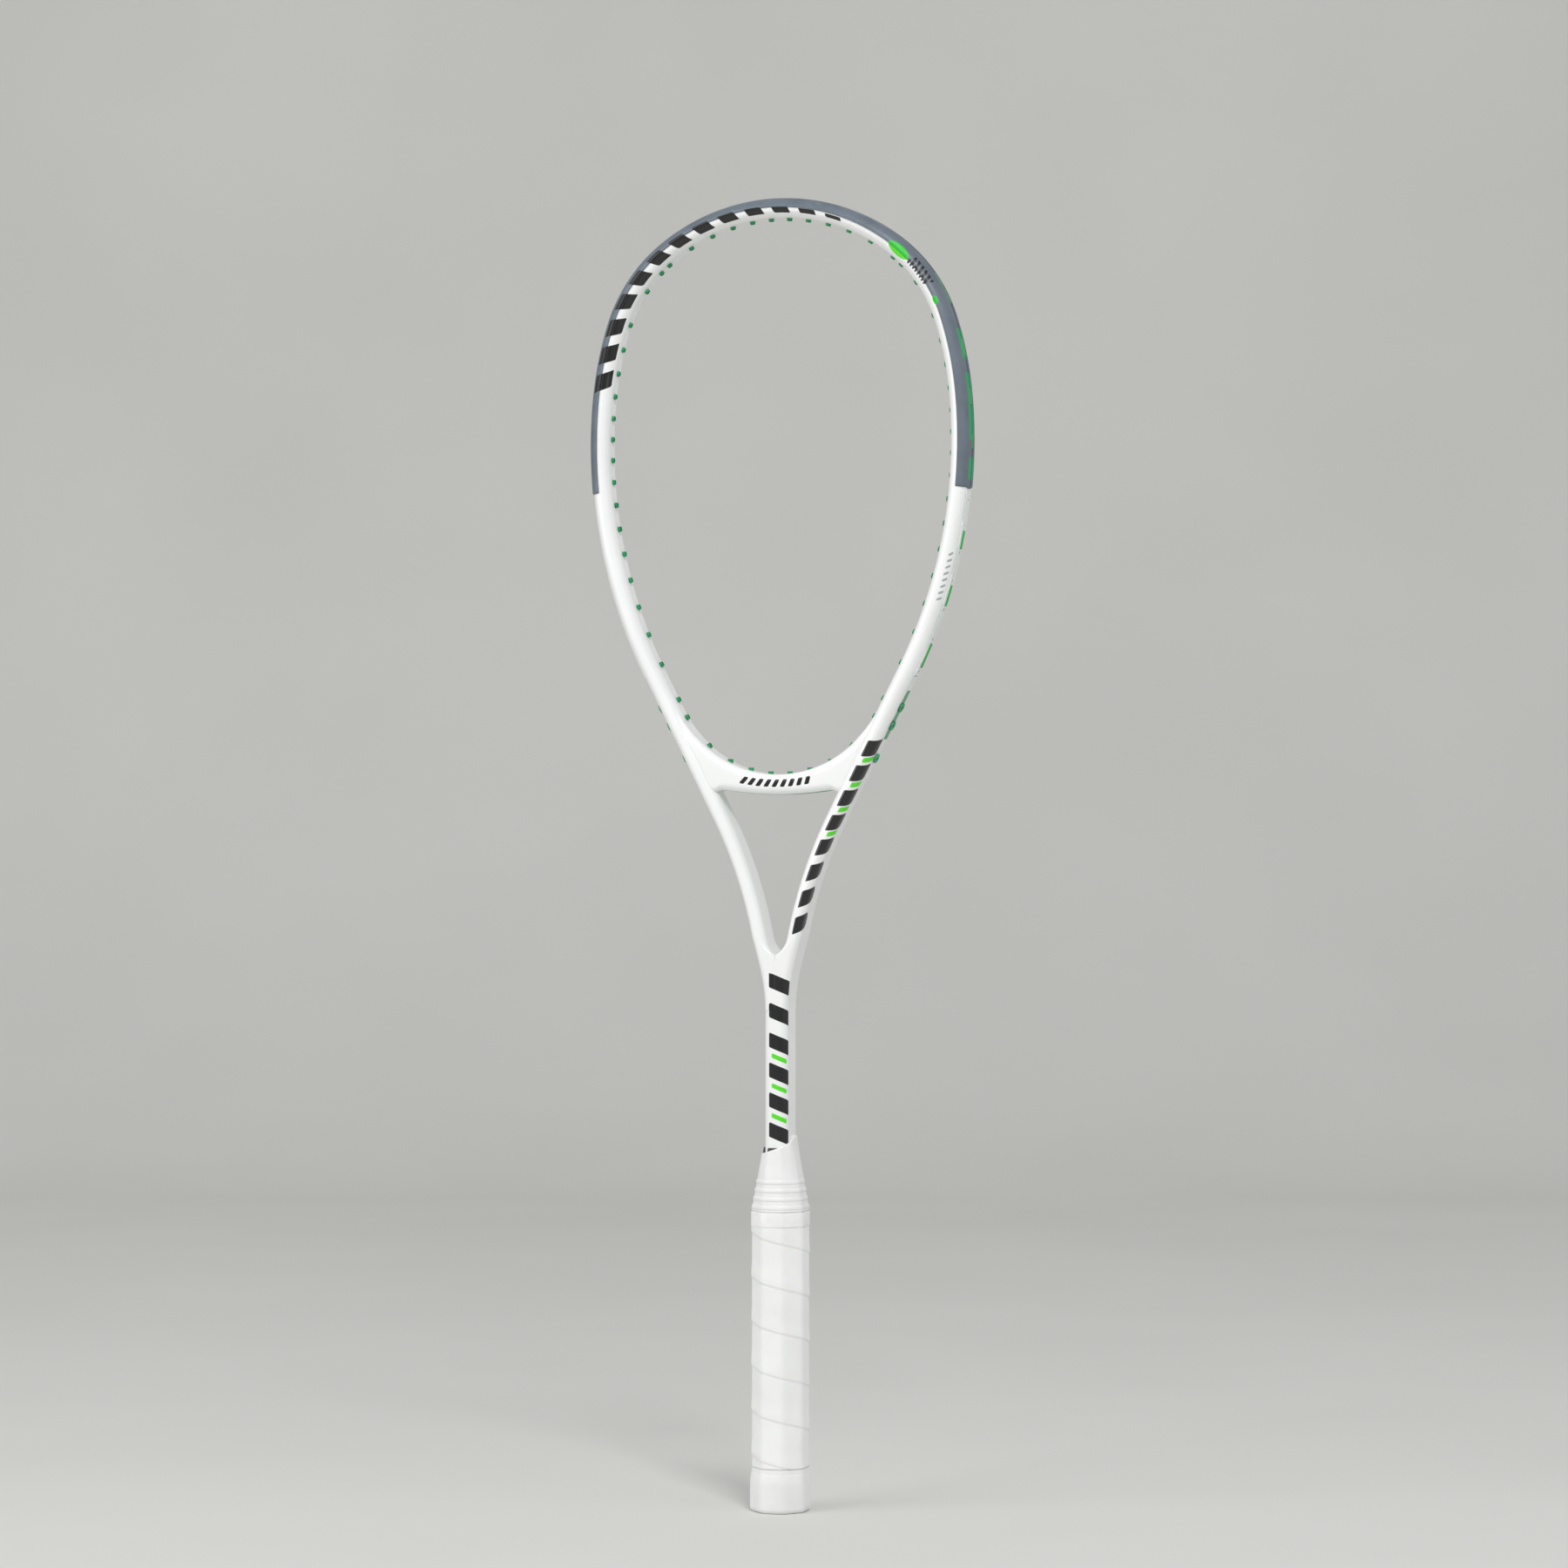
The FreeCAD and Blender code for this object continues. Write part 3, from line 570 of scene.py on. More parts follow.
@dataclass(frozen=True)
class Finish:
    """What every finish shares: a surface shader with an even set of values.

    Attributes:
        name: real material and how its surface was made.
        colour: sRGB hex of the clean surface.
        shade: sRGB hex that the colour drifts towards in soft patches.
        patch_mm: size of the patches.
        roughness: middle roughness.
        roughness_drift: how far the roughness wanders.
        grain_mm: size of the fine relief; drawn no finer than the render can show.
        grain_height_mm: height of the fine relief.
        texture: kind of fine relief.
        ior: index of refraction.
        metallic: 1 for bare metal.
        coat: weight of a clear coat.
        sheen: weight of the soft sheen of a fibrous or foamed surface.
        subsurface: weight of light that goes through.
    """

    name: str
    colour: str
    shade: str
    patch_mm: float = 25.0
    roughness: float = 0.4
    roughness_drift: float = 0.08
    grain_mm: float = 0.8
    grain_height_mm: float = 0.02
    texture: Texture = Texture.GRAIN
    ior: float = 1.5
    metallic: float = 0.0
    coat: float = 0.0
    sheen: float = 0.0
    subsurface: float = 0.0

    def build(self) -> bpy.types.Material:
        """Make the material: patches of colour, wandering roughness and fine relief.

        Returns:
            The material.
        """
        material = bpy.data.materials.new(self.name)
        material.use_nodes = True
        tree = material.node_tree
        tree.nodes.clear()
        place = add_node(tree, "ShaderNodeTexCoord").outputs["Object"]
        patches = add_node(tree, "ShaderNodeTexNoise", None,
                           {"Vector": place, "Scale": 1.0 / (self.patch_mm * MM), "Detail": 3.0})
        drift = add_node(tree, "ShaderNodeMapRange", None,
                         {"Value": patches.outputs["Fac"], "From Min": 0.35, "From Max": 0.65})
        colour = add_node(tree, "ShaderNodeMix", {"data_type": "RGBA"},
                          {0: drift.outputs[0], 6: linear_colour(self.colour),
                           7: linear_colour(self.shade)})
        surface = self.decorate(tree, place, colour.outputs[2])
        wander = add_node(tree, "ShaderNodeMapRange", None,
                          {"Value": patches.outputs["Fac"], "From Min": 0.3, "From Max": 0.7,
                           "To Min": self.roughness - self.roughness_drift,
                           "To Max": self.roughness + self.roughness_drift})
        shader = add_node(tree, "ShaderNodeBsdfPrincipled", None,
                          {"Base Color": surface, "Roughness": wander.outputs[0],
                           "Normal": self.relief(tree, place),
                           "Coat Roughness": 0.06, "Coat Weight": self.coat, "Sheen Weight": self.sheen,
                           "Subsurface Weight": self.subsurface, "Subsurface Scale": 2.0 * MM})
        if self.metallic:
            shader.inputs["Metallic"].default_value = self.metallic
        else:
            shader.inputs["IOR"].default_value = self.ior
        add_node(tree, "ShaderNodeOutputMaterial", None, {"Surface": shader.outputs[0]})
        return material

    def relief(self, tree: bpy.types.NodeTree, place: bpy.types.NodeSocket) -> bpy.types.NodeSocket:
        """Fine relief of the surface, as a normal.

        Args:
            tree: the node tree.
            place: object coordinates.

        Returns:
            Socket with the normal.
        """
        scale = 1.0 / (self.grain_mm * MM)
        if self.texture is Texture.GRAIN:
            height = add_node(tree, "ShaderNodeTexNoise", None,
                              {"Vector": place, "Scale": scale, "Detail": 4.0}).outputs["Fac"]
        else:
            feature = "F1" if self.texture is Texture.PORES else "DISTANCE_TO_EDGE"
            height = add_node(tree, "ShaderNodeTexVoronoi", {"feature": feature},
                              {"Vector": place, "Scale": scale}).outputs["Distance"]
        bump = add_node(tree, "ShaderNodeBump", None,
                        {"Height": height, "Strength": 0.6, "Distance": self.grain_height_mm * MM})
        return bump.outputs[0]

    def decorate(self, tree: bpy.types.NodeTree, place: bpy.types.NodeSocket,
                 colour: bpy.types.NodeSocket) -> bpy.types.NodeSocket:
        """Hook for finishes with marks or wear on the base colour; plain ones have none.

        Args:
            tree: the node tree.
            place: object coordinates.
            colour: socket with the colour so far.

        Returns:
            Socket with the finished colour.
        """
        return colour


def ink_layer(tree: bpy.types.NodeTree, below: bpy.types.NodeSocket, paint: Paint, hex_code: str,
              edge_mm: float = 0.12) -> bpy.types.NodeSocket:
    """Lay a printed colour over a surface where the paint's distance field is negative.

    Args:
        tree: the node tree.
        below: socket with the colour under the print.
        paint: which field to read.
        hex_code: sRGB hex of the print.
        edge_mm: half width of the soft edge.

    Returns:
        Socket with the colour after printing.
    """
    distance = add_node(tree, "ShaderNodeAttribute", {"attribute_name": paint.value})
    mask = add_node(tree, "ShaderNodeMapRange", None,
                    {"Value": distance.outputs["Fac"], "From Min": edge_mm, "From Max": -edge_mm})
    mixed = add_node(tree, "ShaderNodeMix", {"data_type": "RGBA"},
                     {0: mask.outputs[0], 6: below, 7: linear_colour(hex_code)})
    return mixed.outputs[2]


@dataclass(frozen=True)
class PrintedLacquer(Finish):
    """Sprayed gloss lacquer over carbon laminate, with printed marks under a clear coat.

    The spray leaves a faint orange peel, so highlights waver a little.
    """

    black: str = "#0c0c0e"
    green: str = "#55dd1e"
    grey: str = "#a9adb0"
    emerald: str = "#2b9a66"

    def decorate(self, tree: bpy.types.NodeTree, place: bpy.types.NodeSocket,
                 colour: bpy.types.NodeSocket) -> bpy.types.NodeSocket:
        """The emerald, grey, black and green marks, in the order they are printed.

        Args:
            tree: the node tree.
            place: object coordinates.
            colour: socket with the colour so far.

        Returns:
            Socket with the finished colour.
        """
        emerald = ink_layer(tree, colour, Paint.EMERALD, self.emerald)
        grey = ink_layer(tree, emerald, Paint.GREY, self.grey)
        black = ink_layer(tree, grey, Paint.BLACK, self.black)
        return ink_layer(tree, black, Paint.GREEN, self.green)


@dataclass(frozen=True)
class CrownHighlightNylon(Finish):
    """Injection-moulded nylon with painted highlight at its crown.

    Pale thin streaks of painted highlight run along the head at the crown, standing for lengthwise
    highlights; they fade out below the crown.
    """

    # Colour of the painted highlight streaks along the crown.
    crown_highlight: str = "#aab1b8"
    black: str = "#101114"
    green: str = "#19b92a"
    emerald: str = "#2b9a66"
    crown_low: float = 0.60
    crown_high: float = 0.686
    highlight_streak_mm: tuple[float, float, float] = (9.0, 1.1, 1.6)

    def decorate(self, tree: bpy.types.NodeTree, place: bpy.types.NodeSocket,
                 colour: bpy.types.NodeSocket) -> bpy.types.NodeSocket:
        """Painted highlight streaks over the base colour at the crown, then the printed bands.

        Args:
            tree: the node tree.
            place: object coordinates.
            colour: socket with the colour so far.

        Returns:
            Socket with the finished colour.
        """
        # Painted highlight: pale lengthwise streaks, strongest at the crown and fading below it, mixed into
        # the colour.
        stretch = add_node(tree, "ShaderNodeMapping", None,
                           {"Vector": place, "Scale": tuple(1.0 / (size * MM) for size in self.highlight_streak_mm)})
        streaks = add_node(tree, "ShaderNodeTexNoise", None,
                           {"Vector": stretch.outputs[0], "Scale": 1.0, "Detail": 5.0, "Roughness": 0.7})
        height = add_node(tree, "ShaderNodeSeparateXYZ", None, {0: place}).outputs["Z"]
        crown = add_node(tree, "ShaderNodeMapRange", None,
                         {"Value": height, "From Min": self.crown_low, "From Max": self.crown_high,
                          "To Min": 0.74, "To Max": 0.60}).outputs[0]
        above = add_node(tree, "ShaderNodeMath", {"operation": "SUBTRACT"},
                         {0: streaks.outputs["Fac"], 1: crown})
        highlight_mask = add_node(tree, "ShaderNodeMapRange", None,
                        {"Value": above.outputs[0], "From Min": 0.0, "From Max": 0.1, "To Max": 0.55})
        highlighted = add_node(tree, "ShaderNodeMix", {"data_type": "RGBA"},
                           {0: highlight_mask.outputs[0], 6: colour, 7: linear_colour(self.crown_highlight)})
        emerald = ink_layer(tree, highlighted.outputs[2], Paint.EMERALD, self.emerald)
        green = ink_layer(tree, emerald, Paint.GREEN, self.green)
        return ink_layer(tree, green, Paint.BLACK, self.black)


@dataclass(frozen=True)
class TwoToneNylon(Finish):
    """Moulded nylon strip: pale along the outside of the head, tinted where it stands inside.

    The side of the head is one arc, so a point's distance to that arc's centre
    tells the outside from the inside.
    """

    outside: str = "#e9ebe9"
    arc_radius: float = 262.0
    arc_x: float = -163.4
    arc_z: float = 557.8

    def decorate(self, tree: bpy.types.NodeTree, place: bpy.types.NodeSocket,
                 colour: bpy.types.NodeSocket) -> bpy.types.NodeSocket:
        """Pale colour outside the head's line.

        Args:
            tree: the node tree.
            place: object coordinates.
            colour: socket with the colour so far.

        Returns:
            Socket with the finished colour.
        """
        whole = add_node(tree, "ShaderNodeVectorMath", {"operation": "ABSOLUTE"}, {0: place})
        flat = add_node(tree, "ShaderNodeVectorMath", {"operation": "MULTIPLY"},
                        {0: whole.outputs[0], 1: (1.0, 0.0, 1.0)})
        reach = add_node(tree, "ShaderNodeVectorMath", {"operation": "DISTANCE"},
                         {0: flat.outputs[0], 1: (self.arc_x * MM, 0.0, self.arc_z * MM)})
        outer = add_node(tree, "ShaderNodeMath", {"operation": "GREATER_THAN"},
                         {0: reach.outputs["Value"], 1: self.arc_radius * MM})
        mixed = add_node(tree, "ShaderNodeMix", {"data_type": "RGBA"},
                         {0: outer.outputs[0], 6: colour, 7: linear_colour(self.outside)})
        return mixed.outputs[2]


@dataclass(frozen=True)
class TwillLaminate(Finish):
    """Carbon cloth in epoxy: a two-over-two twill whose tows catch the light in steps."""

    tow_mm: float = 2.0
    tow: str = "#34363a"

    def decorate(self, tree: bpy.types.NodeTree, place: bpy.types.NodeSocket,
                 colour: bpy.types.NodeSocket) -> bpy.types.NodeSocket:
        """Diagonal steps of the twill, from a wave at 45 degrees to the tube.

        Args:
            tree: the node tree.
            place: object coordinates.
            colour: socket with the colour so far.

        Returns:
            Socket with the finished colour.
        """
        turned = add_node(tree, "ShaderNodeMapping", None,
                          {"Vector": place, "Rotation": (0.0, math.radians(45), math.radians(20))})
        wave = add_node(tree, "ShaderNodeTexWave", {"wave_profile": "SAW"},
                        {"Vector": turned.outputs[0], "Scale": 0.05 / (self.tow_mm * MM),
                         "Distortion": 0.4})
        mixed = add_node(tree, "ShaderNodeMix", {"data_type": "RGBA"},
                         {0: wave.outputs["Fac"], 6: colour, 7: linear_colour(self.tow)})
        return mixed.outputs[2]


class Finishes:
    """Every finish of the racket, built once."""

    def __init__(self) -> None:
        """Build the materials."""
        # Gloss lacquer sprayed over carbon: near white, sharp highlights that waver a little.
        self.lacquer = PrintedLacquer(
            "Frame_sprayed_gloss_lacquer", "#f4f5f4", "#eeefee", patch_mm=60.0, roughness=0.22,
            roughness_drift=0.05, grain_mm=2.6, grain_height_mm=0.012, coat=0.25).build()
        # Moulded nylon: slate grey, a dull sheen, pale streaks of painted highlight along the crown.
        self.bumper = CrownHighlightNylon(
            "Bumper_moulded_nylon", "#67717c", "#5b6670", patch_mm=14.0, roughness=0.46,
            grain_mm=0.7, grain_height_mm=0.03, ior=1.53).build()
        # Tinted nylon: dark green, slightly translucent at its thin tips.
        self.grommet = Finish(
            "Grommet_tinted_nylon", "#239a61", "#1b8552", patch_mm=8.0, roughness=0.36,
            grain_mm=0.6, grain_height_mm=0.015, ior=1.53, subsurface=0.12).build()
        # The same nylon, pale where it lies in the outer groove.
        self.side_strip = TwoToneNylon(
            "Side_strip_moulded_nylon", "#239a61", "#1b8552", patch_mm=8.0, roughness=0.4,
            grain_mm=0.6, grain_height_mm=0.015, ior=1.53, subsurface=0.1).build()
        # Bright green nylon, smoother than the grommets.
        self.pad = Finish(
            "Pad_bright_nylon", "#1fb347", "#149a38", patch_mm=10.0, roughness=0.34,
            grain_mm=0.6, grain_height_mm=0.015, ior=1.53, subsurface=0.12).build()
        # Tacky polyurethane with fine pores: soft, no sharp highlight. Pores drawn coarser than real.
        self.grip = Finish(
            "Grip_tacky_polyurethane", "#f3f3f2", "#ececea", patch_mm=30.0, roughness=0.62,
            grain_mm=1.3, grain_height_mm=0.05, texture=Texture.PORES, ior=1.5, sheen=0.12,
            subsurface=0.08).build()
        # Calendered vinyl: flatter and a little glossier than the grip.
        self.tape = Finish(
            "Tape_calendered_vinyl", "#f7f7f5", "#eeeeec", patch_mm=12.0, roughness=0.36,
            grain_mm=1.6, grain_height_mm=0.02, ior=1.52).build()
        # Moulded rubber: matt, slightly greyer than the grip.
        self.collar = Finish(
            "Collar_moulded_rubber", "#f0f0ef", "#e7e7e5", patch_mm=18.0, roughness=0.5,
            grain_mm=0.9, grain_height_mm=0.03, ior=1.5).build()
        # Moulded polyurethane: satin, fine mould grain.
        self.cap = Finish(
            "Cap_moulded_polyurethane", "#f1f1f0", "#e8e8e6", patch_mm=20.0, roughness=0.42,
            grain_mm=0.8, grain_height_mm=0.025, ior=1.5).build()
        # Drawn steel wire: bare metal, mostly hidden.
        self.wire = Finish(
            "Staple_drawn_steel", "#c9cac8", "#b4b5b3", patch_mm=3.0, roughness=0.28,
            grain_mm=0.5, grain_height_mm=0.01, metallic=1.0).build()
        # Carbon twill in epoxy: near black, tows that catch light in steps. Inside the shaft.
        self.twill = TwillLaminate(
            "Leg_twill_carbon_laminate", "#121315", "#17181b", patch_mm=20.0, roughness=0.3,
            grain_mm=0.8, grain_height_mm=0.01, coat=0.4).build()
        # Rigid foam: open cells, matt and pale. Inside the bridge. Cells drawn coarser than real.
        self.core_foam = Finish(
            "Core_rigid_foam", "#d8cfb0", "#c9bf9d", patch_mm=9.0, roughness=0.85,
            grain_mm=0.9, grain_height_mm=0.2, texture=Texture.CELLS, ior=1.45).build()
        # Moulded polyurethane foam: dark, matt, fine cells. Inside the grip.
        self.handle_foam = Finish(
            "Pallet_moulded_polyurethane_foam", "#4a4b4e", "#3c3d40", patch_mm=11.0, roughness=0.8,
            grain_mm=1.0, grain_height_mm=0.15, texture=Texture.CELLS, ior=1.45).build()


# ============================================================ string holes

@dataclass(frozen=True)
class StringPattern:
    """Where the strings pass through the head.

    Crosses lie at middle + pitch k + growth k^2 above and the same below, mains at
    pitch (k + 1/2) + growth (k + 1/2)^2 from the middle. Two that land close
    together on the tube share one hole.
    """

    line: CentreLine
    cross_middle: float = 562.0
    cross_pitch: float = 11.0
    cross_growth: float = 0.28
    crosses_above: int = 7
    main_pitch: float = 10.4
    main_growth: float = 0.25
    mains: int = 7
    closest: float = 6.0

    def stations_above(self, height: float) -> Array:
        """Stations of the holes on the right half of the head above a height.

        Args:
            height: lowest height of a hole.

        Returns:
            The stations, from the top down.
        """
        lengths = np.linspace(0.0, self.line.shoulder(), 6000)
        x, z, _ = self.line.at(lengths)
        k = np.arange(1, self.crosses_above + 1)
        crosses = self.cross_middle + self.cross_pitch * k + self.cross_growth * k * k
        below = self.cross_middle - self.cross_pitch * (k - 1) - self.cross_growth * (k - 1) ** 2
        steps = np.arange(self.mains) + 0.5
        mains = self.main_pitch * steps + self.main_growth * steps * steps
        widest = int(np.argmax(x))
        found = list(np.interp(mains, x[:widest], lengths[:widest]))
        found += list(np.interp(-np.concatenate([crosses, below]), -z, lengths))
        kept: list[float] = []
        for station in sorted(found):
            if not kept or station - kept[-1] >= self.closest:
                kept.append(float(station))
        heights = self.line.at(np.array(kept))[1]
        return np.array(kept)[heights > height]


# ============================================================ the head

@dataclass
class Head:
    """The carbon tube round the head, its bumper guard and the guard's string barrels."""

    line: CentreLine
    marks: list[Mark]
    half_width: float = 4.7
    half_depth: float = 9.5
    flat_width: float = 0.3
    flat_depth: float = 3.0
    corner_power: float = 1.9
    groove: float = 1.2
    step: float = 1.0
    guard_end_height: float = 533.0
    guard_gap: float = 0.05
    guard_thickness: float = 0.8
    lip_end: float = 0.5
    channel_half: float = 1.3
    channel_depth: float = 0.6

    def tube(self, material: bpy.types.Material) -> bpy.types.Object:
        """The painted tube: one section carried from shoulder to shoulder."""
        reach = self.line.shoulder()
        station = np.linspace(-reach, reach, int(2 * reach / self.step) + 1)
        ones = np.ones_like(station)
        across, depth, way = Ring().shape(self.half_width * ones, self.half_depth, self.flat_width,
                                          self.flat_depth, self.corner_power, self.groove)
        points = self.line.sweep(station, across, depth)
        fields = paint_fields(self.marks, station[:, None], way)
        return make_object("head_tube_skin", [Patch(points, fields=fields)])

    def guard_section(self, fullness: Array) -> tuple[Array, Array, Array]:
        """Closed C-shaped section of the guard, for rows of a given fullness from 0 to 1.

        The outer path follows the tube's section, set off by the gap and the
        thickness times the fullness, from lip to lip over the outer side, with the
        string channel sunk in its middle. The inner path runs back along the tube.

        Args:
            fullness: 0 for no thickness, 1 for all of it, one value for each row.

        Returns:
            Distance across, depth, and the way round from the front's middle.
        """
        out_x = self.half_width + self.guard_gap + self.guard_thickness * fullness
        out_y = self.half_depth + 0.8 * fullness
        in_x = (self.half_width + self.guard_gap) * np.ones_like(fullness)
        in_y = (self.half_depth + 0.03) * np.ones_like(fullness)
        rounding = np.linspace(0.0, math.pi / 2, 15)

        def corner(a: Array, b: Array) -> tuple[Array, Array]:
            """From the flat's end at the outer side round to the lip.

            Args:
                a: half widths.
                b: half depths.

            Returns:
                Distances across and in depth.
            """
            lip = np.arccos(((self.lip_end - self.flat_width) / (a - self.flat_width))[:, None]
                            ** (self.corner_power / 2.0))
            turn = lip * np.linspace(0.0, 1.0, len(rounding))[None, :]
            x = self.flat_width + (a[:, None] - self.flat_width) * np.cos(turn) ** (2.0 / self.corner_power)
            y = self.flat_depth + (b[:, None] - self.flat_depth) * np.sin(turn) ** (2.0 / self.corner_power)
            return x, y

        ox, oy = corner(out_x, out_y)
        ix, iy = corner(in_x, in_y)
        channel_y = np.array([-2.7, -2.1, -1.55, -1.3, -1.25, -0.6, 0.0, 0.6, 1.25, 1.3, 1.55, 2.1, 2.7])
        inside_channel = np.abs(channel_y) < self.channel_half - 0.01
        sunk = np.where(inside_channel, self.channel_depth, 0.0)
        swell = 0.12 * np.exp(-((np.abs(channel_y) - 1.9) / 0.6) ** 2)
        flat_x = out_x[:, None] + (swell - sunk)[None, :] * fullness[:, None]
        flat_y = np.broadcast_to(channel_y, flat_x.shape)
        lip_x = (ox[:, -1] + ix[:, -1])[:, None] / 2 - 0.35 * fullness[:, None]
        lip_y = (oy[:, -1] + iy[:, -1])[:, None] / 2
        inner_y = np.linspace(-2.7, 2.7, 5)
        inner_flat_x = np.broadcast_to(in_x[:, None], (len(in_x), 5))
        inner_flat_y = np.broadcast_to(inner_y[::-1], inner_flat_x.shape)
        across = np.concatenate([ox[:, ::-1], flat_x, ox, lip_x,
                                 ix[:, ::-1], inner_flat_x, ix, lip_x], axis=1)
        depth = np.concatenate([-oy[:, ::-1], flat_y, oy, lip_y,
                                iy[:, ::-1], inner_flat_y, -iy, -lip_y], axis=1)
        outer_count = 2 * ox.shape[1] + flat_x.shape[1]
        steps = np.hypot(np.diff(across, axis=1), np.diff(depth, axis=1))
        way = np.concatenate([np.zeros((len(steps), 1)), np.cumsum(steps, axis=1)], axis=1) + self.lip_end
        way[:, outer_count:] = 99.0
        way[:, -3:] = self.lip_end
        return across, depth, way

    def guard_end(self) -> float:
        """Station where the guard ends."""
        return self.line.height_station(self.guard_end_height)

    def guard(self, material: bpy.types.Material) -> bpy.types.Object:
        """The bumper guard; its ends are rounded over by thinning the last rows."""
        reach = self.guard_end()
        inner = np.linspace(-reach + 1.0, reach - 1.0, int(2 * reach / 1.2))
        ends = reach - np.array([0.0, 0.12, 0.35, 0.65])
        station = np.concatenate([-ends, inner, ends[::-1]])
        from_end = reach - np.abs(station)
        fullness = np.sqrt(np.clip(1.0 - (1.0 - np.clip(from_end / 0.8, 0.0, 1.0)) ** 2, 0.12, 1.0))
        across, depth, way = self.guard_section(fullness)
        points = self.line.sweep(station, across, depth)
        fields = paint_fields(self.marks, station[:, None], way)
        return make_object("bumper_guard_shell", [Patch(points, fields=fields)])

    def barrels(self) -> bpy.types.Object:
        """The guard's string barrels where they stand inside the head: a lathe profile each.

        Returns:
            One object with a patch for each barrel.
        """
        profile_radius = np.array([1.55, 1.5, 1.46, 1.42, 1.36, 1.22, 1.08, 0.98, 0.95, 0.92, 0.88])
        profile_across = -np.array([4.2, 4.75, 5.2, 5.7, 5.95, 6.07, 6.07, 5.98, 5.8, 5.3, 4.76])
        turn = np.linspace(0.0, 2 * math.pi, 16, endpoint=False)
        half = StringPattern(self.line).stations_above(self.guard_end_height + 2.5)
        patches = []
        for station in np.concatenate([-half[::-1], half]):
            x, z, heading = (float(v) for v in self.line.at(np.array(station)))
            outward = np.array([math.sin(heading), 0.0, math.cos(heading)])
            along = np.array([math.cos(heading), 0.0, -math.sin(heading)])
            ring = np.cos(turn)[:, None] * along + np.sin(turn)[:, None] * np.array([0.0, 1.0, 0.0])
            points = np.array([x, 0.0, z]) + profile_across[:, None, None] * outward
            points = points + profile_radius[:, None, None] * ring[None, :, :]
            patches.append(Patch(points))
        return make_object("bumper_string_barrels", patches)

    def build(self, finishes: Finishes) -> None:
        """Build and dress the head."""
        finish_piece(self.tube(finishes.lacquer), finishes.lacquer, "lacquered_carbon", "head_hoop")
        finish_piece(self.guard(finishes.bumper), finishes.bumper, "bumper_nylon", "bumper_guard")
        finish_piece(self.barrels(), finishes.grommet, "grommet_nylon")


# ============================================================ throat and shaft

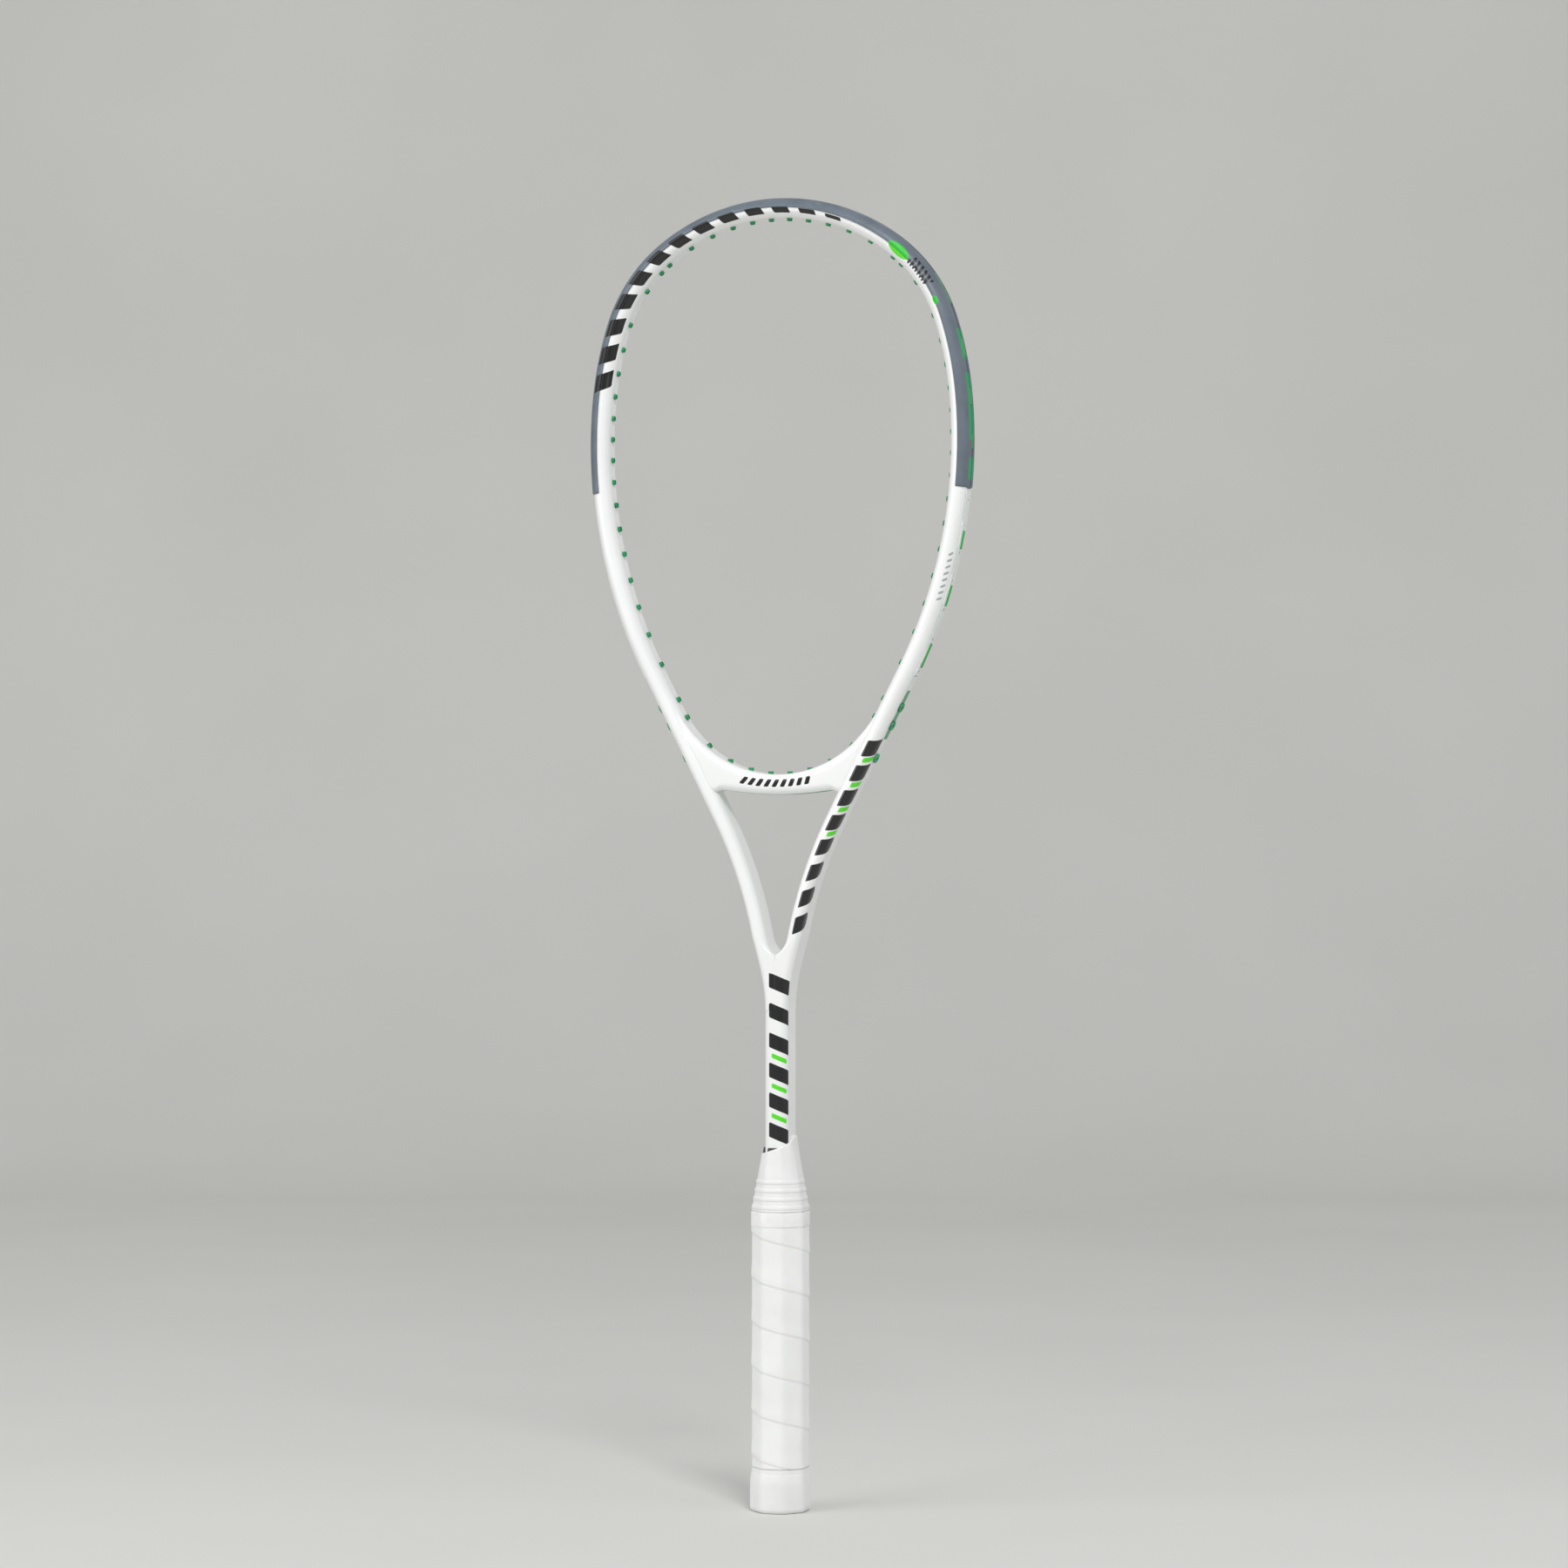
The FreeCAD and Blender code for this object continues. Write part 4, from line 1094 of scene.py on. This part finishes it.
@dataclass
class Throat:
    """The two arms, the bridge between them, the yoke they run into and the shaft."""

    line: CentreLine
    head: Head
    marks: list[Mark]
    bridge_marks: list[Mark]
    shaft_marks: list[Mark]
    yoke_top: float = 300.0
    yoke_bottom: float = 262.0
    apex: float = 291.0
    taper_after_shoulder: float = 73.0
    slim_after_shoulder: float = 10.0
    arm_half_width: float = 3.6
    arm_outer_edge: float = 4.6
    arm_half_depth: float = 10.5
    shaft_half_width: float = 6.2
    shaft_half_depth: float = 10.5
    shaft_flat_width: float = 1.6
    shaft_flat_depth: float = 5.9
    shaft_bottom: float = 4.0
    opening_low: float = 384.8
    throat_high: float = 374.3
    throat_radius: float = 178.0
    web_half_depth: float = 9.1
    web_corner: float = 4.2
    fillet: float = 3.0

    def yoke_station(self) -> float:
        """Station where the arms reach the yoke."""
        return self.line.height_station(self.yoke_top)

    def arm(self, side: int) -> Patch:
        """One arm: the head's section, growing narrower and deeper, its plane turning level.

        Args:
            side: -1 for the left arm, 1 for the right.

        Returns:
            The arm's surface.
        """
        start, end = self.line.shoulder(), self.yoke_station()
        station = np.linspace(start, end, int(end - start) + 1)
        share = ramp(station, start + self.slim_after_shoulder, end)
        head = self.head

        def blend(first: float, last: float) -> Array:
            """Value that goes from first to last down the arm."""
            return first + (last - first) * share

        across, depth, way = Ring().shape(
            blend(head.half_width, self.arm_half_width), blend(head.half_depth, self.arm_half_depth),
            blend(head.flat_width, 0.5), blend(head.flat_depth, 6.0), blend(head.corner_power, 2.0))
        crease = np.exp(-((way + 0.6) / 1.1) ** 2) * ramp(station, start - 5, start + 60)[:, None]
        depth = depth - 0.22 * crease * np.sign(depth)
        level = ramp(station, start + self.taper_after_shoulder, end - 2.0)
        outwards = (self.arm_outer_edge - self.arm_half_width) * share[:, None]
        points = self.line.sweep(side * station, across + outwards, depth, level)
        fields = paint_fields(self.marks, side * station[:, None], way)
        return Patch(points, fields=fields)

    def yoke_outer(self, height: Array) -> Array:
        """Half width of the yoke: the shaft's, plus a blend of t^2 and t^3 up to the arms.

        Args:
            height: heights of the rows.

        Returns:
            The half widths.
        """
        x, _, heading = self.line.at(np.array(self.yoke_station()))
        top = float(x) + self.arm_outer_edge / math.sin(float(heading))
        t = (height - self.yoke_bottom) / (self.yoke_top - self.yoke_bottom)
        return self.shaft_half_width + (top - self.shaft_half_width) * (1.55 * t * t - 0.55 * t ** 3)

    def yoke_inner(self, height: Array) -> Array:
        """Half width of the notch: straight, closed at the apex by a quarter of an ellipse.

        Args:
            height: heights of the rows.

        Returns:
            The half widths, 0 below the apex.
        """
        x, _, heading = self.line.at(np.array(self.yoke_station()))
        top = float(x) + (self.arm_outer_edge - 2 * self.arm_half_width) / math.sin(float(heading))
        above = np.clip(height - self.apex, 0.0, None)
        straight = top - 0.24 * (self.yoke_top - height)
        bowl = 7.0
        closing = np.sqrt(np.clip(1.0 - ((bowl - np.minimum(above, bowl)) / bowl) ** 2, 0.0, 1.0))
        return np.clip(straight, 0.0, None) * closing

    def yoke_half(self, side: int) -> Patch:
        """Half of the yoke: level sections from the shaft up to one arm.

        The outer corners stay round; the inner ones are square below the apex, where
        the halves meet in the middle, and round off above it.

        Args:
            side: -1 for the left half, 1 for the right.

        Returns:
            The half's surface.
        """
        upper = self.apex + (self.yoke_top - self.apex) * np.linspace(0.0, 1.0, 16) ** 2
        lower = np.linspace(self.yoke_bottom, self.apex, 30)[:-1]
        height = np.concatenate([lower, upper])[::-1]
        outer, inner = self.yoke_outer(height), self.yoke_inner(height)
        half, middle = (outer - inner) / 2, (outer + inner) / 2
        t = (height - self.yoke_bottom) / (self.yoke_top - self.yoke_bottom)
        ring = Ring()
        corner_x = np.minimum(4.6 - 1.5 * t, 0.98 * half)
        flat_y = self.shaft_flat_depth + 0.2 * t
        rounded = ring.shape(half, self.shaft_half_depth, half - corner_x, flat_y, 2.0)
        opened = ramp(height, self.apex - 6.0, self.yoke_top - 0.5)
        inner_round = np.minimum(3.1 * opened + 0.03, 0.98 * half)
        square = ring.shape(half, self.shaft_half_depth, half - inner_round,
                            self.shaft_half_depth - inner_round * 4.4 / 3.1, 2.0)
        columns = np.arange(rounded[0].shape[1])
        outside = (columns >= ring.front_index())[None, :]
        across = np.where(outside, rounded[0], square[0])
        depth = np.where(outside, rounded[1], square[1])
        steps = np.hypot(np.diff(across, axis=1), np.diff(depth, axis=1))
        way = np.concatenate([np.zeros((len(steps), 1)), np.cumsum(steps, axis=1)], axis=1)
        way = way - way[:, ring.front_index()][:, None]
        way = np.where(way < -half[:, None], 99.0, way + middle[:, None])
        x = side * (middle[:, None] + across)
        points = np.stack([x, depth, np.broadcast_to(height[:, None], x.shape)], axis=-1)
        fields = paint_fields(self.shaft_marks, -height[:, None], side * way)
        return Patch(points, fields=fields)

    def shaft(self) -> Patch:
        """The shaft: one level section, straight down to the butt.

        Returns:
            The shaft's surface.
        """
        height = np.linspace(self.yoke_bottom, self.shaft_bottom, 259)
        half_width = self.shaft_half_width * np.ones_like(height)
        across, depth, way = Ring().shape(half_width, self.shaft_half_depth,
                                          self.shaft_flat_width, self.shaft_flat_depth, 2.0)
        points = np.stack([across, depth, np.broadcast_to(height[:, None], across.shape)], axis=-1)
        return Patch(points, fields=paint_fields(self.shaft_marks, -height[:, None], way))

    def bridge(self) -> Patch:
        """The bridge and its webs, between the head opening and the throat.

        Rows are rays from the centre of the opening's arc, at even angles. A ray
        meets the opening at that arc's radius, and the bridge's other face where it
        first meets the throat's arc or the middle of an arm. A small fillet fills
        the corner between the throat's arc and the arm.

        Returns:
            The surface of the bridge and its webs.
        """
        lean = math.radians(self.line.arm_lean)
        sine_lean, cosine_lean = math.sin(lean), math.cos(lean)
        start_x, start_z, _ = (float(v) for v in self.line.at(np.array(self.line.shoulder())))
        edge_x = start_x - self.head.half_width / cosine_lean
        radius = (edge_x * cosine_lean + (self.opening_low - start_z) * sine_lean) / (1 - sine_lean)
        centre_z = self.opening_low + radius
        reach = math.pi / 2 - lean
        angle = np.linspace(-reach, reach, 181) * 0.995
        sine, cosine = np.sin(np.abs(angle)), np.cos(angle)
        apart = centre_z - (self.throat_high + self.throat_radius)
        to_throat = apart * cosine + np.sqrt(self.throat_radius ** 2 - apart ** 2 + (apart * cosine) ** 2)
        slope = np.sin(np.abs(angle) + lean)
        to_arm = (start_x * cosine_lean - (start_z - centre_z) * sine_lean) / slope
        edge = self.head.half_width / slope
        gap = np.clip((to_arm - edge) - to_throat, 0.0, None)
        to_throat = to_throat + self.fillet * np.exp(-gap / 1.6)
        lower = np.minimum(to_throat, to_arm)
        fade = ramp(np.degrees(np.abs(angle)), 42.0, math.degrees(reach))
        upper = radius + 0.6 * fade
        half = (lower - upper) / 2
        corner = np.minimum(self.web_corner, half * 0.92)
        half_depth = self.web_half_depth - 1.3 * fade
        across, depth, way = Ring(side_steps=8).shape(half, half_depth, half - corner,
                                                     half_depth - corner, 2.0 * np.ones_like(half))
        distance = (upper + half)[:, None] + across
        x = distance * np.sin(angle)[:, None]
        z = centre_z - distance * cosine[:, None]
        points = np.stack([x, depth, z], axis=-1)
        station = (radius + 5.0) * angle
        return Patch(points, fields=paint_fields(self.bridge_marks, station[:, None], way))

    def build(self, finishes: Finishes) -> None:
        """Build and dress the throat and shaft.

        Args:
            finishes: every finish.
        """
        for side, word in ((-1, "left"), (1, "right")):
            finish_piece(make_object(f"arm_skin_{word}", [self.arm(side)]), finishes.lacquer,
                         "lacquered_carbon", f"throat_arm_{word}")
        finish_piece(make_object("bridge_skin", [self.bridge()]), finishes.lacquer,
                     "lacquered_carbon", "throat_bridge")
        finish_piece(make_object("yoke_skin", [self.yoke_half(-1), self.yoke_half(1)]), finishes.lacquer,
                     "lacquered_carbon", "throat_yoke")
        finish_piece(make_object("shaft_skin", [self.shaft()]), finishes.lacquer,
                     "lacquered_carbon", "shaft_wrap")


# ============================================================ the handle

@dataclass(frozen=True)
class Octagon:
    """An eight-sided outline with rounded corners.

    The way out in a direction is the p-norm blend of eight flats:
    r = (sum (cos(angle - flat) / distance)^p)^(-1/p), over the flats that face it.
    """

    half_width: float
    half_depth: float
    front_flat: float
    side_flat: float
    sharpness: float = 26.0

    def flats(self) -> tuple[Array, Array]:
        """Directions and distances of the eight flats.

        Returns:
            Directions in radians, and distances.
        """
        rise, run = self.half_depth - self.side_flat, self.half_width - self.front_flat
        slant = math.atan2(run, rise)
        distance = self.front_flat * math.cos(slant) + self.half_depth * math.sin(slant)
        quarter = math.pi / 2
        turns = [0.0, slant, quarter, math.pi - slant, math.pi, math.pi + slant, 3 * quarter, -slant]
        away = [self.half_width, distance, self.half_depth, distance] * 2
        return np.array(turns), np.array(away)

    def radius(self, angle: Array) -> Array:
        """Way out from the middle in each direction."""
        turns, away = self.flats()
        facing = np.clip(np.cos(angle[..., None] - turns), 0.0, None) / away
        return np.sum(facing ** self.sharpness, axis=-1) ** (-1.0 / self.sharpness)


@dataclass
class Handle:
    """Butt cap, wrapped cushion grip, finishing tape and tapered collar."""

    columns: int = 144
    grip: Octagon = Octagon(14.25, 15.0, 5.5, 6.5)
    butt: Octagon = Octagon(15.2, 15.9, 6.0, 6.8, 20.0)
    neck: Octagon = Octagon(7.15, 11.4, 2.6, 6.4, 22.0)
    butt_height: float = 22.7
    grip_bottom: float = 22.9
    grip_top: float = 156.8
    collar_top: float = 191.5
    collar_tilt: float = 4.5
    cone_top: float = 198.0
    wrap_pitch: float = 23.2
    wrap_start: float = 19.5
    wrap_step: float = 0.42
    tape_low: float = 149.0
    tape_thickness: float = 0.25
    rib_first: float = 158.0
    rib_pitch: float = 4.4
    rib_width: float = 2.2
    rib_height: float = 0.38
    ribs: int = 4

    def turned(self) -> Array:
        """Directions round the handle."""
        return np.linspace(-math.pi, math.pi, self.columns, endpoint=False)

    def lathe(self, radius: Array, height: Array) -> Array:
        """Points from ways out and heights, rows x columns."""
        angle = self.turned()
        return np.stack([radius * np.cos(angle), radius * np.sin(angle),
                         np.broadcast_to(height, radius.shape)], axis=-1)

    def grip_radius(self, height: Array) -> Array:
        """Surface of the wrapped band.

        Each turn lies on the one below it: a share of the pitch f is the fractional
        part of height / pitch + angle / full turn, and the surface steps up at f = 0
        and eases back by f = 0.4. Each turn is also crowned a little, as
        sin(pi f), and soft dents wander over it.

        Args:
            height: heights of the rows.

        Returns:
            Ways out, rows x columns.
        """
        angle = self.turned()[None, :]
        height = height[:, None]
        f = np.mod((height - self.wrap_start) / self.wrap_pitch + angle / (2 * math.pi), 1.0)
        lap = self.wrap_step * (ramp(f, 0.0, 0.022) * (1.0 - ramp(f, 0.05, 0.42)) - 0.35)
        crown = 0.12 * np.sin(math.pi * f)
        dents = 0.05 * np.sin(height * 0.31 + 3.0 * angle) * np.sin(height * 0.13 - 2.0 * angle + 1.3)
        return self.grip.radius(self.turned())[None, :] + lap + crown + dents - 0.12

    def grip_piece(self) -> bpy.types.Object:
        """The cushion band from cap to collar, with turned-in ends.

        Returns:
            The grip.
        """
        height = np.linspace(self.grip_bottom, self.grip_top, 300)
        radius = self.grip_radius(height)
        from_end = np.minimum(height - self.grip_bottom, self.grip_top - height)[:, None]
        edge = 0.5
        radius = radius - edge * (1.0 - np.sqrt(1.0 - (1.0 - np.clip(from_end / edge, 0.0, 1.0)) ** 2))
        return make_object("cushion_grip_wrap", [Patch(self.lathe(radius, height[:, None]))], 60.0)

    def tape_piece(self) -> bpy.types.Object:
        """The finishing tape: a thin closed band whose section is carried round the grip.

        Returns:
            The tape.
        """
        profile = np.array([[0.0, 0.0], [0.1, 0.8], [0.35, 1.0], [3.8, 1.02], [7.25, 1.0], [7.5, 0.8],
                            [7.6, 0.0], [7.5, -1.2], [3.8, -1.2], [0.1, -1.2]])
        height = self.tape_low + profile[:, 0][:, None]
        base = self.grip.radius(self.turned())[None, :]
        wrinkle = 0.03 * np.sin(7.0 * self.turned() + 2.0)[None, :] * np.sin(height * 1.7)
        radius = base + (self.tape_thickness * profile[:, 1])[:, None] + wrinkle
        return make_object("finishing_tape_band", [Patch(self.lathe(radius, height), wrap_rows=True)], 50.0)

    def collar_piece(self) -> bpy.types.Object:
        """The tapered collar: an octagon that shrinks to the shaft, ribbed, cut off at a slant.

        The height of a row is low + t (top - low), where top falls towards the left
        by the tilt times -cos(angle). The section blends from grip to neck with the
        height, plus a rib where (height - first) mod pitch is within the rib's width.

        Returns:
            The collar.
        """
        angle = self.turned()[None, :]
        share = np.linspace(0.0, 1.0, 150)[:, None]
        top = self.collar_top + self.collar_tilt * np.cos(angle - 0.5)
        height = self.grip_top + (top - self.grip_top) * share
        t = np.clip((height - self.grip_top) / (self.cone_top - self.grip_top), 0.0, 1.0)
        wide, narrow = self.grip.radius(self.turned())[None, :], self.neck.radius(self.turned())[None, :]
        radius = (1 - t) * wide + t * narrow
        phase = np.mod(height - self.rib_first, self.rib_pitch)
        rib = ramp(phase, 0.0, 0.5) * (1.0 - ramp(phase, self.rib_width - 0.5, self.rib_width))
        in_zone = (height > self.rib_first) & (height < self.rib_first + self.rib_pitch * self.ribs - 0.5)
        radius = radius + self.rib_height * rib * in_zone
        lip = np.clip((top - height) / 0.9, 0.0, 1.0)
        radius = radius - 0.9 * (1.0 - np.sqrt(1.0 - (1.0 - lip) ** 2))
        start = np.clip((height - self.grip_top) / 0.6, 0.0, 1.0)
        radius = radius - 0.35 * (1.0 - np.sqrt(1.0 - (1.0 - start) ** 2))
        tucked = radius[-1:] - np.array([[1.2], [2.4]])
        radius = np.concatenate([radius, tucked])
        height = np.concatenate([height, height[-1:] - 0.15, height[-1:] - 0.5])
        return make_object("collar_sleeve", [Patch(self.lathe(radius, height))], 50.0)

    def cap_piece(self) -> bpy.types.Object:
        """The butt cap: flared skirt, rounded foot and a round recess for the plug.

        Returns:
            The cap.
        """
        angle = self.turned()
        foot = 2.8
        arc = np.linspace(0.0, math.pi / 2, 9)
        foot_height, foot_inset = foot * (1 - np.cos(arc)), foot * 0.75 * (1 - np.sin(arc))
        skirt = np.linspace(foot, 15.5, 14)[1:]
        flare = np.linspace(15.5, self.butt_height, 26)[1:]
        height = np.concatenate([foot_height, skirt, flare])
        inset = np.concatenate([foot_inset, np.zeros(len(skirt) + len(flare))])
        share = ramp(height, 15.0, self.butt_height + 0.5)[:, None]
        wide, narrow = self.butt.radius(angle)[None, :], self.grip.radius(angle)[None, :] - 0.05
        radius = (1 - share) * wide + share * narrow - inset[:, None]
        groove = 0.08 * np.exp(-((height - 20.6) / 0.5) ** 2)[:, None]
        radius = radius - groove
        recess = 9.0
        recess_row = recess * np.ones_like(angle)
        floor_rows = [0.3 * radius[0] + 0.7 * recess, recess_row, recess_row]
        closing = [radius[-1] - 0.5, radius[-1] - 1.8]
        all_radius = np.concatenate([np.array(floor_rows[::-1]), radius, np.array(closing)])
        closing_height = self.butt_height + 0.1
        all_height = np.concatenate([[0.85, 0.05, 0.0], height, [closing_height, closing_height]])
        return make_object("butt_cap_shell", [Patch(self.lathe(all_radius, all_height[:, None]))], 45.0)

    def build(self, finishes: Finishes) -> None:
        """Build and dress the handle.

        Args:
            finishes: every finish.
        """
        grip = self.grip_piece()
        finish_piece(grip, finishes.grip, "grip_cushion", "cushion_grip")
        finish_piece(self.tape_piece(), finishes.tape, "tape", "finishing_tape")
        finish_piece(self.collar_piece(), finishes.collar, "collar_rubber", "grip_collar")
        finish_piece(self.cap_piece(), finishes.cap, "cap_plastic", "butt_cap")


# ============================================================ parts kept from the CAD

@dataclass
class KeptParts:
    """CAD nodes whose shape is right: they only get their finish."""

    finishes: Finishes

    def plan(self) -> dict[str, bpy.types.Material]:
        """Finish of each kept node.

        Returns:
            A material for each node's name.
        """
        f = self.finishes
        return {
            "side_grommet_strip_left": f.side_strip, "side_grommet_strip_right": f.side_strip,
            "shoulder_grommets": f.grommet, "bridge_grommet_strip": f.grommet, "string_pads": f.pad,
            "shaft_leg_left": f.twill, "shaft_leg_right": f.twill,
            "throat_bridge_core": f.core_foam,
            "handle_pallet_left": f.handle_foam, "handle_pallet_right": f.handle_foam,
            "butt_cap_plug": f.cap, "butt_cap_staples": f.wire, "grip_start_tack": f.wire,
        }

    def build(self) -> None:
        """Dress each kept node by its material slots."""
        for node, material in self.plan().items():
            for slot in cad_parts[node].material_slots:
                slot.material = material
            log.info("%s: kept, dressed in %s", node, material.name)


# ============================================================ the marks' places

def head_marks() -> list[Mark]:
    """Plain bars that grow slimmer from the upper left to the crown, and the right side's accents."""
    black, green, grey, emerald = Paint.BLACK, Paint.GREEN, Paint.GREY, Paint.EMERALD
    marks = [
        Mark(green, 66.0, 80.0, 0.6, 3.1, swell=True),
        Mark(green, 103.5, 108.5, 0.8, 1.5, swell=True),
    ]
    edge_bars = ((122.0, 138.0), (145.0, 179.0), (188.0, 199.0),
                 (206.0, 220.0), (233.0, 248.0), (263.0, 289.0))
    marks += [Mark(emerald, start, end, 12.0, 4.0) for start, end in edge_bars]
    marks += hatch(black, -149.0, 42.0, 13, -6.5, 4.0, 0.5, 0.62, last=0.18)
    marks += hatch(black, 80.5, 97.0, 8, -1.2, 5.2, -0.25, 0.55)
    marks += hatch(grey, 239.0, 266.0, 8, 2.2, 5.2, 0.5, 0.42)
    return marks


def arm_marks() -> list[Mark]:
    """An emerald edge, then an even row of bars down the right arm with slim green ones between."""
    marks = [Mark(Paint.EMERALD, 311.5, 340.0, 13.0, 3.2)]
    marks += hatch(Paint.BLACK, 343.0, 458.0, 8, -0.5, 9.5, 0.4, 0.64)
    return marks + hatch(Paint.GREEN, 352.9, 410.4, 4, 1.5, 8.5, 0.4, 0.2)


def bridge_marks() -> list[Mark]:
    """A short row of slanted bars along the middle of the bridge."""
    return hatch(Paint.BLACK, -18.9, 20.5, 9, -2.6, 1.4, 0.55, 0.58)


def shaft_marks() -> list[Mark]:
    """An even row of bars down the yoke and shaft; stations here are heights below zero."""
    marks = hatch(Paint.BLACK, -280.4, -187.0, 6, -3.0, 9.0, -0.4, 0.5)
    return marks + hatch(Paint.GREEN, -239.0, -192.3, 3, -1.5, 7.0, -0.4, 0.16)


# ============================================================ studio

@dataclass
class Studio:
    """Pale floor with a curved backdrop, soft lights and the camera."""

    target_height: float = 379.7
    distance: float = 2400.0
    azimuth: float = 18.0
    aside: float = 1.8
    lens: float = 105.36
    floor_colour: str = "#dcdcd8"

    def floor(self) -> None:
        """A sheet that lies flat, then curves up behind the racket.

        The section runs straight, turns a quarter of a circle, and rises straight.
        """
        turn = np.linspace(0.0, math.pi / 2, 24)
        bend, back, front, top = 900.0, 1800.0, -3500.0, 3200.0
        y = np.concatenate([[front, 0.0], back + bend * np.sin(turn), [back + bend]])
        z = np.concatenate([[0.0, 0.0], bend * (1 - np.cos(turn)), [top]])
        x = np.linspace(-4000.0, 4000.0, 9)
        across, up_y = np.meshgrid(x, y)
        up_z = np.broadcast_to(z[:, None], across.shape)
        angle = math.radians(self.azimuth)
        points = np.stack([across * math.cos(angle) - up_y * math.sin(angle),
                           across * math.sin(angle) + up_y * math.cos(angle), up_z], axis=-1)
        sheet = make_object("studio_floor", [Patch(points, wrap=False, cap_start=False, cap_end=False)])
        finish = Finish("Studio_painted_paper", self.floor_colour, "#d8d8d4", patch_mm=400.0,
                        roughness=0.8, grain_mm=6.0, grain_height_mm=0.05)
        sheet.data.materials.append(finish.build())

    def light(self, name: str, place: tuple[float, float, float], size: float, power: float,
              colour: str) -> None:
        """A square soft light aimed at the racket's middle.

        Args:
            name: name of the light.
            place: metres to the camera's right, towards the camera, and up.
            size: edge of the square, metres.
            power: watts.
            colour: sRGB hex.
        """
        angle = math.radians(self.azimuth)
        right = np.array([math.cos(angle), math.sin(angle), 0.0])
        near = np.array([math.sin(angle), -math.cos(angle), 0.0])
        spot = right * place[0] + near * place[1] + np.array([0.0, 0.0, place[2]])
        lamp = bpy.data.lights.new(name, "AREA")
        lamp.shape, lamp.size, lamp.energy = "SQUARE", size, power
        lamp.color = linear_colour(colour)[:3]
        holder = bpy.data.objects.new(name, lamp)
        bpy.context.scene.collection.objects.link(holder)
        aim = np.array([0.0, 0.0, self.target_height * MM]) - spot
        holder.location = spot
        holder.rotation_euler = Vector(aim).to_track_quat("-Z", "Y").to_euler()

    def camera(self) -> None:
        """Level camera at the racket's half height, a little to the right of its front."""
        angle = math.radians(self.azimuth)
        lens = bpy.data.cameras.new("Camera")
        lens.lens, lens.sensor_width, lens.clip_end = self.lens, 36.0, 50.0
        holder = bpy.data.objects.new("Camera", lens)
        bpy.context.scene.collection.objects.link(holder)
        x = self.distance * math.sin(angle) + self.aside * math.cos(angle)
        y = -self.distance * math.cos(angle) + self.aside * math.sin(angle)
        holder.location = (x * MM, y * MM, self.target_height * MM)
        holder.rotation_euler = (math.pi / 2, 0.0, angle)
        bpy.context.scene.camera = holder

    def build(self) -> None:
        """Floor, world, lights and camera."""
        self.floor()
        self.camera()
        world = bpy.data.worlds.new("Studio")
        bpy.context.scene.world = world
        world.use_nodes = True
        background = world.node_tree.nodes["Background"]
        background.inputs["Color"].default_value = linear_colour("#f2f3f4")
        background.inputs["Strength"].default_value = 0.55
        bpy.context.scene.view_settings.view_transform = "Standard"
        self.light("Key_front", (0.45, 1.9, 2.4), 0.7, 34.0, "#ffffff")
        self.light("Soft_left", (-2.0, 1.2, 1.3), 1.8, 22.0, "#ffffff")
        self.light("Fill_right", (2.0, 1.2, 0.9), 1.4, 5.0, "#f6f8ff")


# ============================================================ main


def main() -> None:
    """Build the racket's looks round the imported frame, in order from head to butt."""
    logging.basicConfig(level=logging.INFO, format="%(name)s: %(message)s")
    finishes = Finishes()
    guard_high = box_mm("bumper_guard")[1][2]
    line = CentreLine(top=guard_high - 0.9 - 5.0)
    head = Head(line, head_marks())
    head.build(finishes)
    Throat(line, head, arm_marks(), bridge_marks(), shaft_marks()).build(finishes)
    Handle().build(finishes)
    KeptParts(finishes).build()
    Studio().build()


if __name__ == "__main__":
    main()
